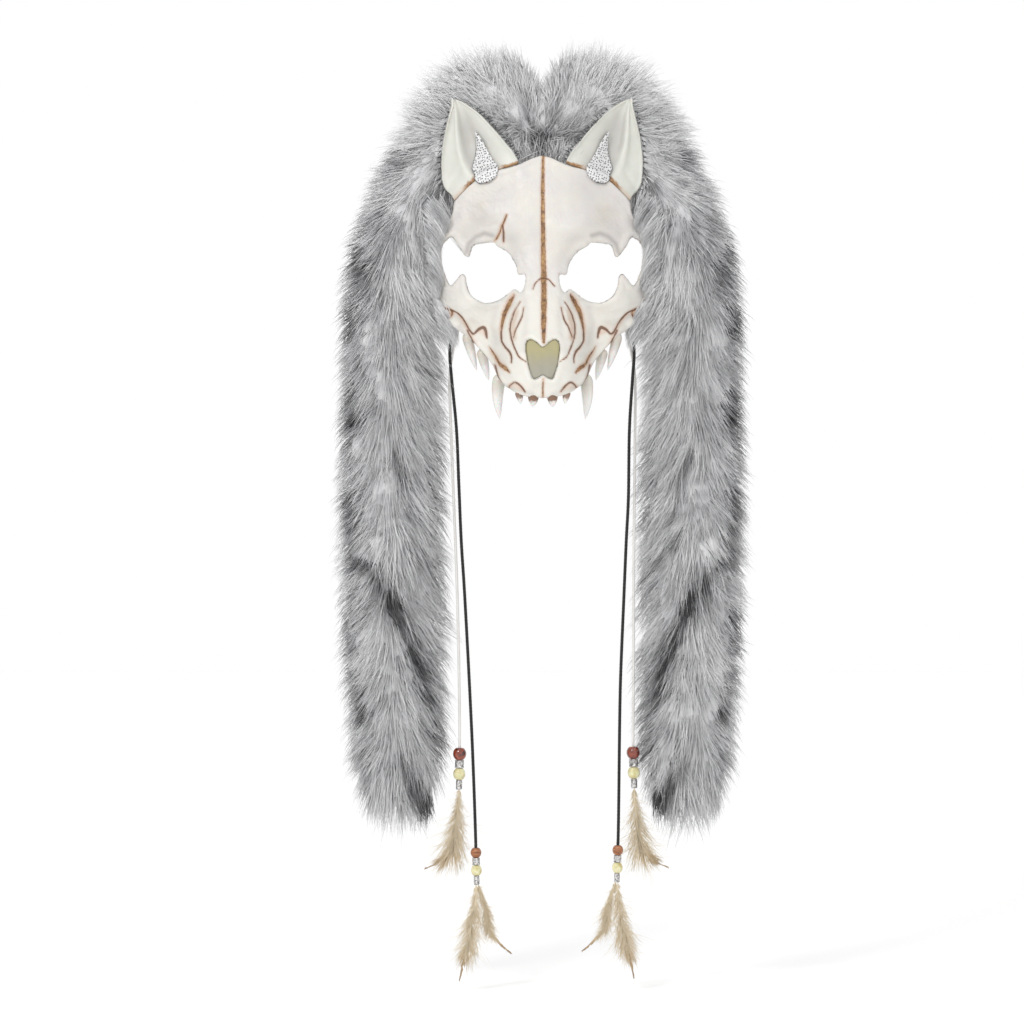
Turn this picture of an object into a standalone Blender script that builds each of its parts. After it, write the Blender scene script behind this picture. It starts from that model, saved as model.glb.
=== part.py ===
"""Fox mask: a canine-skull half mask with ears, two fur falls and four cords with beads and feathers.

Metres, +Z up. The mask faces -Y and +X is the viewer's right. The origin is on the midline at eye
level, in the plane of the mask's rim, where the mask sits on the face.
"""

import math

import bmesh
import bpy
import numpy as np

# Skull shell
RIM_WIDTH = 0.170        # across the rim beside the eyes
CROWN_HEIGHT = 0.092     # crown above eye level
GUM_DROP = 0.104         # front gum below eye level
TEMPLE_HEIGHT = 0.055    # where the side edge starts, above eye level
CHEEK_DROP = 0.036       # where the side edge ends, below eye level
FACE_DEPTH = 0.034       # forehead in front of the rim plane
HEAD_WIDTH = 1.047 * RIM_WIDTH   # width at which the wrap would reach the rim plane
CROWN_SET_BACK = 0.013
SNOUT_LENGTH = 0.054     # muzzle in front of the face
CHEEKBONE = 0.007
BROW = 0.005
WALL = 0.0025
SKULL_COLUMNS = 25
SKULL_ROWS = 17
GAP = 0.0003             # clearance between separate pieces

# Openings in the shell
EYE_SPACING = 0.565 * RIM_WIDTH
EYE_WIDTH = 0.386 * RIM_WIDTH
EYE_HEIGHT = 0.0528
NOSE_WIDTH = 0.0264
NOSE_HEIGHT = 0.0312
NOSE_DROP = 0.0728       # middle of the nose opening below eye level
NOSE_PLATE_THICK = 0.0015
NOSE_PLATE_RECESS = 0.0007

# Ears
EAR_TIP_HEIGHT = 0.139
EAR_TIP_SPREAD = 0.412 * RIM_WIDTH   # tip to midline
EAR_CUP = 0.009
EAR_SWING = 4 * (EAR_CUP + WALL)     # scale of the edges' swing beyond straight lines
EAR_LEAN = 0.006         # tip behind the base
EAR_WALL = 0.002
EAR_INNER_BASE = 0.27    # where the ear's seat starts on the shell's top edge, as a share of its half width
INLAY_THICK = 0.0012
INLAY_LIFT = 4 * GAP     # inlay in front of the ear
INLAY_ROWS = 9
INLAY_COLUMNS = 4
EAR_COLUMNS = 11
EAR_ROWS = 10
EAR_ROW_CROWDING = 1.25  # power that draws the rows towards the seat
EAR_TOP = 0.985          # share of the rise at which the ear's tip is cut blunt
EAR_ROOT = 0.10          # share of the rise in which the ear spreads from its seat to its full width

# Fur falls
FALL_SPREAD = 0.72 * RIM_WIDTH       # middle of the fall to the midline
ARCH_HEIGHT = EAR_TIP_HEIGHT + 0.001   # middle of the arch above eye level
FALL_DROP = 0.446        # end of the fall below eye level
FUR_WIDTH = 0.092
FUR_THICK = 0.054
FUR_SET_BACK = 0.006     # middle of the fall behind the rim plane
ARCH_SET_BACK = 0.020    # the arch lies this much further back, behind the ears
LOCK_DEPTH = 0.24        # share of the width between lock tips and backing
LOCK_ROWS = 42
LOCK_COLUMNS = 12
LOCK_OVERLAP = 0.55      # how far a lock's tip reaches towards the next row

# Cords and what is threaded on them
LONG_CORD = 0.0025
SHORT_CORD = 0.0022
CORD_STEP = 3.8          # diameters between two points of a cord
BEAD_SIDES = 10
FEATHER_THICK = 0.0010
QUILL_WIDTH = 0.0010
FEATHER_ROWS = 12
VANE_NOTCH = 0.72        # every other row of a vane is this share of the width
VANE_HOLLOW = 0.12       # edges behind the quill, as a share of the half width
VANE_SLANT = 0.25        # edges above the quill, as a share of the half width

# Hand-chosen routes of the cords, from behind the cheek down to the crimp
LONG_ROUTE_LEFT = (
    (-0.0712, -0.0144, -0.0410), (-0.0736, -0.0095, -0.0640), (-0.0722, -0.0080, -0.0850),
    (-0.0683, -0.0080, -0.1260), (-0.0664, -0.0075, -0.1700), (-0.0645, -0.0070, -0.2150),
    (-0.0619, -0.0070, -0.2560), (-0.0584, -0.0065, -0.3210), (-0.0556, -0.0060, -0.3800),
    (-0.0534, -0.0060, -0.4400), (-0.0522, -0.0060, -0.4860),
)
LONG_ROUTE_RIGHT = (
    (0.0712, -0.0144, -0.0410), (0.0734, -0.0095, -0.0640), (0.0722, -0.0080, -0.0850),
    (0.0697, -0.0080, -0.1260), (0.0689, -0.0075, -0.1800), (0.0672, -0.0070, -0.2150),
    (0.0653, -0.0070, -0.2600), (0.0628, -0.0065, -0.3210), (0.0619, -0.0060, -0.3650),
    (0.0610, -0.0060, -0.4400), (0.0598, -0.0060, -0.4840),
)
SHORT_ROUTE_LEFT = (
    (-0.0655, -0.0186, -0.0430), (-0.0712, -0.0060, -0.0640), (-0.0738, -0.0030, -0.0860),
    (-0.0730, -0.0020, -0.1200), (-0.0706, -0.0020, -0.1820), (-0.0687, -0.0020, -0.2300),
    (-0.0672, -0.0020, -0.2780), (-0.0662, -0.0020, -0.3300), (-0.0658, -0.0020, -0.3780),
    (-0.0663, -0.0020, -0.4100),
)
SHORT_ROUTE_RIGHT = (
    (0.0655, -0.0186, -0.0430), (0.0712, -0.0060, -0.0640), (0.0742, -0.0030, -0.0860),
    (0.0744, -0.0020, -0.1200), (0.0738, -0.0020, -0.1820), (0.0734, -0.0020, -0.2300),
    (0.0732, -0.0020, -0.2780), (0.0731, -0.0020, -0.3300), (0.0728, -0.0020, -0.3780),
    (0.0736, -0.0020, -0.4090),
)


def table(columns, *rows):
    """Rows of numbers as named columns; the first column is the one that is read along."""
    return dict(zip(columns.split(), np.array(rows, float).T))


def read(rows, column, at):
    """A column's value at a place along the first column, on a smooth curve through the rows."""
    places, values = next(iter(rows.values())), rows[column]
    slopes = np.gradient(values, places)
    at = np.clip(at, places[0], places[-1])
    row = np.clip(np.searchsorted(places, at, side="right") - 1, 0, len(places) - 2)
    span = places[row + 1] - places[row]
    t = (at - places[row]) / span
    return (
        values[row] * (1 + 2 * t) * (1 - t) ** 2
        + values[row + 1] * t**2 * (3 - 2 * t)
        + slopes[row] * span * t * (1 - t) ** 2
        - slopes[row + 1] * span * t**2 * (1 - t)
    )


# Edges of the shell: upper edge as a share from temple height to crown, lower edge from cheek to gum
EDGES = table(
    "across upper lower",
    (0.00, 1.00, 1.00), (0.12, 0.93, 0.99), (0.24, 0.82, 0.945), (0.36, 0.74, 0.84),
    (0.47, 0.69, 0.62), (0.58, 0.62, 0.43), (0.70, 0.52, 0.28), (0.80, 0.38, 0.19),
    (0.90, 0.20, 0.10), (1.00, 0.00, 0.00),
)
# Side edge: half width as a share of half the rim width, from temple down to cheek
SIDE = table(
    "down width",
    (0.00, 0.830), (0.12, 0.856), (0.25, 0.940), (0.37, 1.000), (0.65, 1.000),
    (0.90, 0.990), (1.00, 0.975),
)
# Muzzle: rise as a share of the snout length, and half width as a share of the rim width
SNOUT = table(
    "down rise width",
    (-0.40, 0.00, 0.090), (-0.20, 0.03, 0.095), (0.00, 0.14, 0.110), (0.25, 0.38, 0.150),
    (0.50, 0.66, 0.195), (0.70, 0.88, 0.215), (0.85, 1.00, 0.222), (1.00, 0.94, 0.222),
)
# Left eye opening, from its top outer corner round by the nose: shares of its width and height
EYE_OUTLINE = table(
    "inward up",
    (-0.390, 0.500), (-0.470, 0.420), (-0.500, 0.303), (-0.494, 0.136), (-0.463, -0.030),
    (-0.390, -0.220), (-0.317, -0.136), (-0.256, -0.060), (-0.207, -0.090), (-0.183, -0.227),
    (-0.134, -0.364), (-0.049, -0.455), (0.049, -0.500), (0.171, -0.470), (0.268, -0.394),
    (0.378, -0.288), (0.451, -0.348), (0.500, -0.273), (0.518, -0.090), (0.427, -0.076),
    (0.402, 0.076), (0.317, 0.242), (0.195, 0.333), (0.134, 0.394), (-0.049, 0.379),
    (-0.110, 0.348), (-0.146, 0.227), (-0.171, 0.197), (-0.207, 0.220), (-0.293, 0.364),
    (-0.341, 0.470),
)
# Right half of the nose opening, from the notch at its top: shares of its width and height
NOSE_OUTLINE = table(
    "across up",
    (0.000, 0.300), (0.170, 0.410), (0.330, 0.500), (0.450, 0.470), (0.500, 0.300),
    (0.455, -0.060), (0.370, -0.330), (0.290, -0.500), (0.150, -0.485), (0.000, -0.420),
)
# Teeth of one side: root and tip as shares of half the rim width and of the gum drop, root radius
TEETH = (
    {"root": (0.095, 0.955), "tip": (0.100, 1.065), "radius": 0.0036},
    {"root": (0.232, 0.935), "tip": (0.198, 1.035), "radius": 0.0032},
    {"root": (0.395, 0.800), "tip": (0.395, 1.145), "radius": 0.0052},
    {"root": (0.575, 0.600), "tip": (0.500, 0.842), "radius": 0.0042},
    {"root": (0.715, 0.475), "tip": (0.612, 0.765), "radius": 0.0042},
)
# A tooth from root to tip: radius and forward bend as shares of the root's radius
TOOTH_SHAPE = (
    (0.0, 1.0, 0.0), (0.35, 0.92, 0.25), (0.65, 0.68, 0.30), (0.88, 0.36, 0.15), (1.0, 0.12, 0.0),
)
TOOTH_SEAT = 0.6         # middle of a root behind the gum's face, as a share of its radius
# Ear: its two edges, base to tip, as shares of the base's width and of the rise from base to tip
EAR_EDGES = table(
    "up outer inner",
    (0.00, 0.000, 0.000), (0.14, 0.160, 0.060), (0.32, 0.190, 0.240), (0.55, 0.150, 0.480),
    (0.80, 0.060, 0.740), (0.93, 0.010, 0.930), (1.00, 0.000, 1.000),
)
# Ear's cup: depth across, from outer edge to inner edge, as shares of the cup's depth
EAR_SECTION = table(
    "across depth",
    (0.00, 0.10), (0.10, 0.35), (0.22, 0.42), (0.30, 0.22), (0.42, 0.80), (0.55, 1.00),
    (0.72, 0.62), (0.88, 0.22), (1.00, 0.00),
)
# Inlay, bottom to top: middle and half width in shares across the ear
INLAY = table(
    "up middle half",
    (-0.14, 0.50, 0.010), (-0.11, 0.47, 0.085), (-0.04, 0.45, 0.155), (0.06, 0.45, 0.175),
    (0.18, 0.50, 0.135), (0.30, 0.54, 0.090), (0.42, 0.56, 0.055), (0.50, 0.58, 0.012),
)
# Fur fall's middle line and section: shares of the spread, arch height, drop, width and thickness,
# and the turn of its outer side in degrees from straight up
FALL = table(
    "along across arch drop width thick back turn",
    (0.000, 0.000, 0.835, 0.000, 0.68, 0.76, -0.10, 0),
    (0.035, 0.144, 0.950, 0.000, 0.98, 0.86, 0.25, 0),
    (0.061, 0.275, 0.995, 0.000, 0.90, 0.94, 0.55, 5),
    (0.085, 0.405, 0.990, 0.000, 0.88, 1.00, 0.75, 16),
    (0.110, 0.516, 0.935, 0.000, 0.88, 1.00, 0.80, 36),
    (0.139, 0.605, 0.820, 0.000, 0.88, 1.00, 0.75, 52),
    (0.191, 0.725, 0.594, 0.000, 0.89, 1.00, 0.40, 63),
    (0.253, 0.880, 0.326, 0.000, 0.88, 1.00, -0.10, 69),
    (0.309, 0.972, 0.069, 0.000, 0.88, 1.00, -0.35, 79),
    (0.371, 0.995, 0.000, 0.068, 0.91, 1.00, -0.40, 87),
    (0.480, 0.993, 0.000, 0.230, 0.96, 1.00, -0.25, 90),
    (0.601, 1.000, 0.000, 0.410, 1.00, 1.00, 0.00, 90),
    (0.723, 0.990, 0.000, 0.590, 0.98, 0.98, 0.00, 90),
    (0.844, 0.970, 0.000, 0.770, 0.92, 0.92, 0.00, 90),
    (0.935, 0.945, 0.000, 0.905, 0.80, 0.80, 0.00, 90),
    (0.979, 0.925, 0.000, 0.970, 0.56, 0.56, 0.00, 90),
    (1.000, 0.915, 0.000, 1.000, 0.12, 0.12, 0.00, 90),
)
# Turned profiles: half height and radius as shares of the piece's height and diameter
ROUND_BEAD = table("up wide", (0.50, 0.28), (0.32, 0.44), (0.0, 0.50), (-0.32, 0.44), (-0.50, 0.28))
SPACER = table("up wide", (0.50, 0.42), (0.30, 0.50), (0.0, 0.40), (-0.30, 0.50), (-0.50, 0.42))
CRIMP = table("up wide", (0.50, 0.43), (0.42, 0.50), (-0.42, 0.50), (-0.50, 0.43))
# What is threaded on each cord, from the top: height and diameter in metres
LONG_STACK = (
    ("brown_bead", ROUND_BEAD, 0.0076, 0.0086), ("spacer", SPACER, 0.0056, 0.0066),
    ("cream_bead", ROUND_BEAD, 0.0082, 0.0088), ("crimp", CRIMP, 0.0072, 0.0050),
)
SHORT_STACK = (
    ("brown_bead", ROUND_BEAD, 0.0096, 0.0108), ("spacer", SPACER, 0.0062, 0.0078),
    ("cream_bead", ROUND_BEAD, 0.0090, 0.0100), ("crimp", CRIMP, 0.0076, 0.0054),
)
# Feathers, from the crimp down: sideways and drop as shares of the length, half width of the vane
SHORT_FEATHER = table(
    "along side drop half",
    (0.00, 0.000, 0.000, 0.000), (0.14, 0.000, 0.140, 0.010), (0.28, -0.010, 0.290, 0.110),
    (0.50, 0.020, 0.500, 0.230), (0.68, 0.090, 0.680, 0.215), (0.84, 0.270, 0.860, 0.110),
    (1.00, 0.560, 1.000, 0.004),
)
LONG_FEATHER = table(
    "along side drop half",
    (0.00, 0.000, 0.000, 0.000), (0.14, 0.010, 0.140, 0.006), (0.28, 0.030, 0.290, 0.080),
    (0.50, 0.070, 0.520, 0.165), (0.68, 0.100, 0.700, 0.135), (0.84, 0.150, 0.860, 0.070),
    (1.00, 0.215, 1.000, 0.004),
)
CURL_FEATHER = table(
    "along side drop half",
    (0.00, 0.000, 0.000, 0.000), (0.20, -0.010, 0.200, 0.006), (0.38, -0.050, 0.400, 0.075),
    (0.58, -0.130, 0.620, 0.090), (0.78, -0.270, 0.820, 0.060), (1.00, -0.470, 1.000, 0.004),
)
# Feathers in each crimp: length in metres, and how far the middle bows to the front
LONG_FEATHERS = (("feather", LONG_FEATHER, 0.080, 0.004), ("curl_feather", CURL_FEATHER, 0.062, -0.004))
SHORT_FEATHERS = (("feather", SHORT_FEATHER, 0.066, -0.003),)


def skull_depth(x, z):
    """How far the shell's outer face lies in front of the rim plane."""
    across = np.clip(np.abs(x) / (HEAD_WIDTH / 2), 0, 0.999)
    wrap = FACE_DEPTH * (1 - across**2.2) ** 0.7
    rise = np.clip(z / CROWN_HEIGHT - 0.2, 0, None) / 0.8
    down = -z / GUM_DROP
    width = read(SNOUT, "width", down) * RIM_WIDTH
    snout = SNOUT_LENGTH * read(SNOUT, "rise", down) * np.exp(-np.abs(x / width) ** 4)
    cheek = CHEEKBONE * hill(x, z, 0.35 * RIM_WIDTH, -0.24 * GUM_DROP, 0.10, 0.13)
    brow = BROW * hill(x, z, 0.22 * RIM_WIDTH, 0.34 * CROWN_HEIGHT, 0.15, 0.07)
    return wrap - CROWN_SET_BACK * rise**2 + snout + cheek + brow


def hill(x, z, spread, height, wide, tall):
    """A smooth hill of height 1, mirrored about the midline; its reach is in shares of the rim width."""
    return np.exp(
        -(((np.abs(x) - spread) / (wide * RIM_WIDTH)) ** 2)
        - ((z - height) / (tall * RIM_WIDTH)) ** 2
    )


def skull_point(across, down):
    """A point of the shell's outer face: across from -1 to 1, down from 0 to 1."""
    half = RIM_WIDTH / 2 * read(SIDE, "width", down)
    x = across * half
    top = TEMPLE_HEIGHT + (CROWN_HEIGHT - TEMPLE_HEIGHT) * read(EDGES, "upper", np.abs(across))
    low = -CHEEK_DROP - (GUM_DROP - CHEEK_DROP) * read(EDGES, "lower", np.abs(across))
    z = top + down * (low - top)
    return np.stack([x, -skull_depth(x, z), z], axis=-1)


def cup_swell(rise):
    """How much of the cup's depth an ear has: none at its base and tip, all of it at mid height."""
    return np.sin(np.pi * np.clip(rise, 0, 1) ** 0.8) ** 0.9


def ear_point(across, up, side):
    """A point of an ear's front face: across from outer to inner edge, up from base to tip."""
    seat = np.clip(up, None, 0)
    base_share = EAR_INNER_BASE + (1 - across) * (1 - EAR_INNER_BASE)
    base = skull_point(side * base_share, np.zeros_like(across))
    outer = skull_point(side * np.ones_like(across), np.zeros_like(across))
    inner = skull_point(side * np.full_like(across, EAR_INNER_BASE), np.zeros_like(across))
    tip_x = side * EAR_TIP_SPREAD
    rise = np.clip(up, 0, 1)
    outer_x = outer[..., 0] + side * read(EAR_EDGES, "outer", rise) * EAR_SWING
    outer_x += (tip_x - outer[..., 0]) * rise
    inner_x = inner[..., 0] + (tip_x - inner[..., 0]) * read(EAR_EDGES, "inner", rise)
    bottom = base[..., 2] + GAP
    z = bottom + (EAR_TIP_HEIGHT - bottom) * rise + seat * (EAR_TIP_HEIGHT - bottom)
    across_x = outer_x + (inner_x - outer_x) * across
    blend = np.clip(rise / EAR_ROOT, 0, 1)
    x = base[..., 0] * (1 - blend) + across_x * blend
    cup = EAR_CUP * read(EAR_SECTION, "depth", across) * cup_swell(rise)
    front = skull_depth(x, np.minimum(z, bottom))
    y = -front + cup + EAR_LEAN * rise
    return np.stack([x, y, z], axis=-1)


def new_material(name, colour, roughness, metallic=0.0):
    material = bpy.data.materials.new(name)
    material.use_nodes = True
    shader = material.node_tree.nodes["Principled BSDF"]
    shader.inputs["Base Color"].default_value = (*colour, 1)
    shader.inputs["Roughness"].default_value = roughness
    shader.inputs["Metallic"].default_value = metallic
    return material


def add_object(name, mesh, collection, material=None):
    made = bpy.data.objects.new(name, mesh)
    collection.objects.link(made)
    if material:
        mesh.materials.append(material)
    if collection is cutters:
        made.hide_render = True
        made.display_type = "WIRE"
    return made


def grid_quads(index):
    """The quads between the rows and columns of a grid of vertex numbers."""
    corners = (index[:-1, :-1], index[1:, :-1], index[1:, 1:], index[:-1, 1:])
    return np.stack(corners, axis=-1).reshape(-1, 4)


def sheet(name, points, collection, material=None):
    """An open surface through a grid of points, whose faces turn to the viewer in front."""
    rows, columns = points.shape[:2]
    index = np.arange(rows * columns).reshape(rows, columns)
    mesh = bpy.data.meshes.new(name)
    mesh.from_pydata(points.reshape(-1, 3).tolist(), [], grid_quads(index).tolist())
    if sum(face.normal.y for face in mesh.polygons) > 0:
        mesh.flip_normals()
    return add_object(name, mesh, collection, material)


def thicken(made, thickness, offset=-1.0):
    wall = made.modifiers.new("wall", "SOLIDIFY")
    wall.thickness = thickness
    wall.offset = offset
    return made


def lift(made, distance):
    """Moves a surface outwards along its normals."""
    outward = made.modifiers.new("lift", "DISPLACE")
    outward.mid_level = 0
    outward.strength = distance
    return made


def applied(made):
    """The object with its modifiers made part of its mesh."""
    graph = bpy.context.evaluated_depsgraph_get()
    mesh = bpy.data.meshes.new_from_object(made.evaluated_get(graph))
    made.modifiers.clear()
    made.data = mesh
    return made


def cut(made, other, operation="DIFFERENCE"):
    step = made.modifiers.new(other.name, "BOOLEAN")
    step.operation = operation
    step.object = other
    return made


def prism(name, outline, front, back):
    """A closed prism along Y over an outline of (x, z) points, for cutting."""
    curve = bpy.data.curves.new(name, "CURVE")
    curve.dimensions = "2D"
    curve.fill_mode = "BOTH"
    curve.extrude = abs(back - front) / 2
    spline = curve.splines.new("POLY")
    spline.points.add(len(outline) - 1)
    spline.points.foreach_set("co", [n for x, z in outline for n in (x, z, 0, 1)])
    spline.use_cyclic_u = True
    flat = bpy.data.objects.new(name, curve)
    cutters.objects.link(flat)
    flat.rotation_euler.x = math.pi / 2
    flat.location.y = (front + back) / 2
    return meshed(flat, cutters)


def turn_outward(mesh):
    """Welds a closed mesh and turns all its faces outwards."""
    bm = bmesh.new()
    bm.from_mesh(mesh)
    bmesh.ops.remove_doubles(bm, verts=bm.verts, dist=1e-6)
    bmesh.ops.recalc_face_normals(bm, faces=bm.faces)
    if bm.calc_volume(signed=True) < 0:
        bmesh.ops.reverse_faces(bm, faces=bm.faces)
    bm.to_mesh(mesh)
    bm.free()


def meshed(curved, collection, material=None):
    """A curve object made a mesh object of the same name, with its caps welded."""
    bpy.context.view_layer.update()
    graph = bpy.context.evaluated_depsgraph_get()
    mesh = bpy.data.meshes.new_from_object(curved.evaluated_get(graph))
    mesh.transform(curved.matrix_world)
    turn_outward(mesh)
    name = curved.name
    bpy.data.objects.remove(curved)
    mesh.name = name
    mesh.materials.clear()
    return add_object(name, mesh, collection, material)


def smooth_shade(made, angle=40):
    made.data.shade_smooth()
    made.data.set_sharp_from_angle(angle=math.radians(angle))


def biggest_body(made):
    """Drops the crumbs that a cut leaves beside the main body."""
    bm = bmesh.new()
    bm.from_mesh(made.data)
    left, bodies = set(bm.verts), []
    while left:
        body, edge = set(), [left.pop()]
        while edge:
            vert = edge.pop()
            body.add(vert)
            near = {e.other_vert(vert) for e in vert.link_edges} & left
            left -= near
            edge.extend(near)
        bodies.append(body)
    crumbs = [v for body in bodies if body is not max(bodies, key=len) for v in body]
    bmesh.ops.delete(bm, geom=crumbs, context="VERTS")
    bm.to_mesh(made.data)
    bm.free()


def eye_outline(side):
    inward = EYE_OUTLINE["inward"] * EYE_WIDTH
    x = side * (EYE_SPACING / 2 - inward)
    return list(zip(x, EYE_OUTLINE["up"] * EYE_HEIGHT))


def nose_outline(inset=0.0):
    x = NOSE_OUTLINE["across"] * (NOSE_WIDTH - 2 * inset)
    z = NOSE_OUTLINE["up"] * (NOSE_HEIGHT - 2 * inset) - NOSE_DROP
    right = list(zip(x, z))
    return right + [(-px, pz) for px, pz in right[-2:0:-1]]


def skull_grid():
    across, down = np.meshgrid(np.linspace(-1, 1, SKULL_COLUMNS), np.linspace(0, 1, SKULL_ROWS))
    return skull_point(across, down)


def tooth(name, side, root, tip, radius):
    """A slightly curved cone from inside the gum to a blunt tip."""
    start = np.array([side * root[0] * RIM_WIDTH / 2, 0, -root[1] * GUM_DROP])
    end = np.array([side * tip[0] * RIM_WIDTH / 2, 0, -tip[1] * GUM_DROP])
    seat = -skull_depth(start[0], start[2]) + TOOTH_SEAT * radius
    start[1], end[1] = seat, seat + TOOTH_SEAT * radius
    curve = bpy.data.curves.new(name, "CURVE")
    curve.dimensions = "3D"
    curve.bevel_depth = radius
    curve.bevel_resolution = 2
    curve.use_fill_caps = True
    spline = curve.splines.new("POLY")
    spline.points.add(len(TOOTH_SHAPE) - 1)
    for point, (share, size, bend) in zip(spline.points, TOOTH_SHAPE):
        x, y, z = start + (end - start) * share
        point.co = (x, y - bend * radius, z, 1)
        point.radius = size
    bent = bpy.data.objects.new(name, curve)
    cutters.objects.link(bent)
    return meshed(bent, cutters)


def make_skull():
    skull = thicken(sheet("skull_mask", skull_grid(), parts, bone), WALL)
    deep = FACE_DEPTH + SNOUT_LENGTH
    for side, word in ((-1, "left"), (1, "right")):
        for number, row in enumerate(TEETH):
            cut(skull, tooth(f"{word}_tooth_{number}", side, **row), "UNION")
        cut(skull, prism(f"{word}_eye_cut", eye_outline(side), -deep, WALL))
    cut(skull, prism("nose_cut", nose_outline(), -deep - WALL, 0))
    applied(skull)
    smooth_shade(skull)
    return skull


def make_nose_plate():
    """A flat plate inside the nose opening, tilted as the muzzle's front is there."""
    high, low = -NOSE_DROP + NOSE_HEIGHT / 2, -NOSE_DROP - NOSE_HEIGHT / 2
    front_high, front_low = skull_depth(0.0, high), skull_depth(0.0, low)
    plate = prism("nose_plate", nose_outline(GAP * 1.5), -NOSE_PLATE_THICK / 2, NOSE_PLATE_THICK / 2)
    cutters.objects.unlink(plate)
    parts.objects.link(plate)
    plate.hide_render = False
    plate.display_type = "TEXTURED"
    plate.data.materials.append(olive)
    points = np.empty(len(plate.data.vertices) * 3)
    plate.data.vertices.foreach_get("co", points)
    points = points.reshape(-1, 3)
    share = (points[:, 2] - low) / (high - low)
    middle = front_low + (front_high - front_low) * share - NOSE_PLATE_RECESS - NOSE_PLATE_THICK / 2
    points[:, 1] -= middle
    plate.data.vertices.foreach_set("co", points.ravel())
    return plate


def ear_grid(side):
    ups = np.linspace(0, 1, EAR_ROWS) ** EAR_ROW_CROWDING * EAR_TOP
    across, up = np.meshgrid(np.linspace(0, 1, EAR_COLUMNS), ups)
    return ear_point(across, up, side)


def make_ear(word, side, skull_room):
    ear = thicken(sheet(f"{word}_ear", ear_grid(side), parts, ivory), EAR_WALL)
    applied(cut(ear, skull_room))
    smooth_shade(ear)
    return ear


def make_inlay(word, side, rooms):
    ups = np.linspace(INLAY["up"][0], INLAY["up"][-1], INLAY_ROWS)
    share, up = np.meshgrid(np.linspace(-1, 1, INLAY_COLUMNS), ups)
    across = read(INLAY, "middle", up) + share * read(INLAY, "half", up)
    points = ear_point(across, up, side)
    inlay = sheet(f"{word}_ear_inlay", points, parts, silver)
    lift(inlay, INLAY_LIFT)
    thicken(inlay, INLAY_THICK, 1.0)
    for neighbour in rooms:
        cut(inlay, neighbour)
    applied(inlay)
    biggest_body(inlay)
    smooth_shade(inlay)
    return inlay


def make_front_room(name, points, wall, clearance):
    """All the space in front of a shell's back face and its edges, with a clearance, for cutting fur."""
    down, across = np.gradient(points, axis=0), np.gradient(points, axis=1)
    normal = np.cross(down, across)
    normal /= np.maximum(np.linalg.norm(normal, axis=-1, keepdims=True), 1e-9)
    normal *= np.sign(normal[..., 1].sum())
    inner = points + normal * (wall + clearance)
    rows, columns = points.shape[:2]
    back = np.empty((rows + 2, columns + 2, 3))
    back[1:-1, 1:-1] = inner
    edge = np.pad(points, ((1, 1), (1, 1), (0, 0)), mode="edge")
    middle = points.reshape(-1, 3).mean(axis=0)
    away = (edge - middle) * (1, 0, 1)
    away /= np.linalg.norm(away, axis=-1, keepdims=True)
    ring = np.ones(back.shape[:2], bool)
    ring[1:-1, 1:-1] = False
    back[ring] = (edge + away * 2 * clearance + np.array([0, clearance, 0]))[ring]
    front = back * (1, 0, 1) - np.array([0, FACE_DEPTH + SNOUT_LENGTH, 0])
    index = np.arange(back.shape[0] * back.shape[1]).reshape(back.shape[:2])
    quads = grid_quads(index)
    loop = np.concatenate([index[0, :-1], index[:-1, -1], index[-1, :0:-1], index[:0:-1, 0]])
    ahead = np.roll(loop, -1)
    sides = np.stack([loop, ahead, ahead + index.size, loop + index.size], axis=-1)
    faces = np.concatenate([quads, quads[:, ::-1] + index.size, sides])
    mesh = bpy.data.meshes.new(name)
    shell = np.concatenate([back.reshape(-1, 3), front.reshape(-1, 3)])
    mesh.from_pydata(shell.tolist(), [], faces.tolist())
    turn_outward(mesh)
    return add_object(name, mesh, cutters)


def make_room(name, points, wall, clearance):
    """The space that a shell and the clearance round it take, for cutting what lies against it."""
    room = applied(thicken(sheet(name, points, cutters), wall))
    return applied(lift(room, clearance))


def make_far_half(name, side):
    """The space beyond the midline, as seen from one side."""
    x_near, x_far = side * GAP / 2, -side * RIM_WIDTH / 2
    high = ARCH_HEIGHT + FUR_WIDTH
    outline = [(x_near, 0), (x_near, high), (x_far, high), (x_far, 0)]
    return prism(name, outline, -FUR_WIDTH, FUR_WIDTH)


def fall_frame(along):
    """Middle line, outward direction and section of a fall at places along it, for the right side."""
    x = read(FALL, "across", along) * FALL_SPREAD + GAP / 2
    z = read(FALL, "arch", along) * ARCH_HEIGHT - read(FALL, "drop", along) * FALL_DROP
    y = FUR_SET_BACK + read(FALL, "back", along) * ARCH_SET_BACK
    turn = np.radians(read(FALL, "turn", along))
    outward = np.stack([np.sin(turn), np.zeros_like(turn), np.cos(turn)], axis=-1)
    wide = read(FALL, "width", along) * FUR_WIDTH / 2
    thick = read(FALL, "thick", along) * FUR_THICK / 2
    return np.stack([x, y, z], axis=-1), outward, wide, thick


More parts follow.
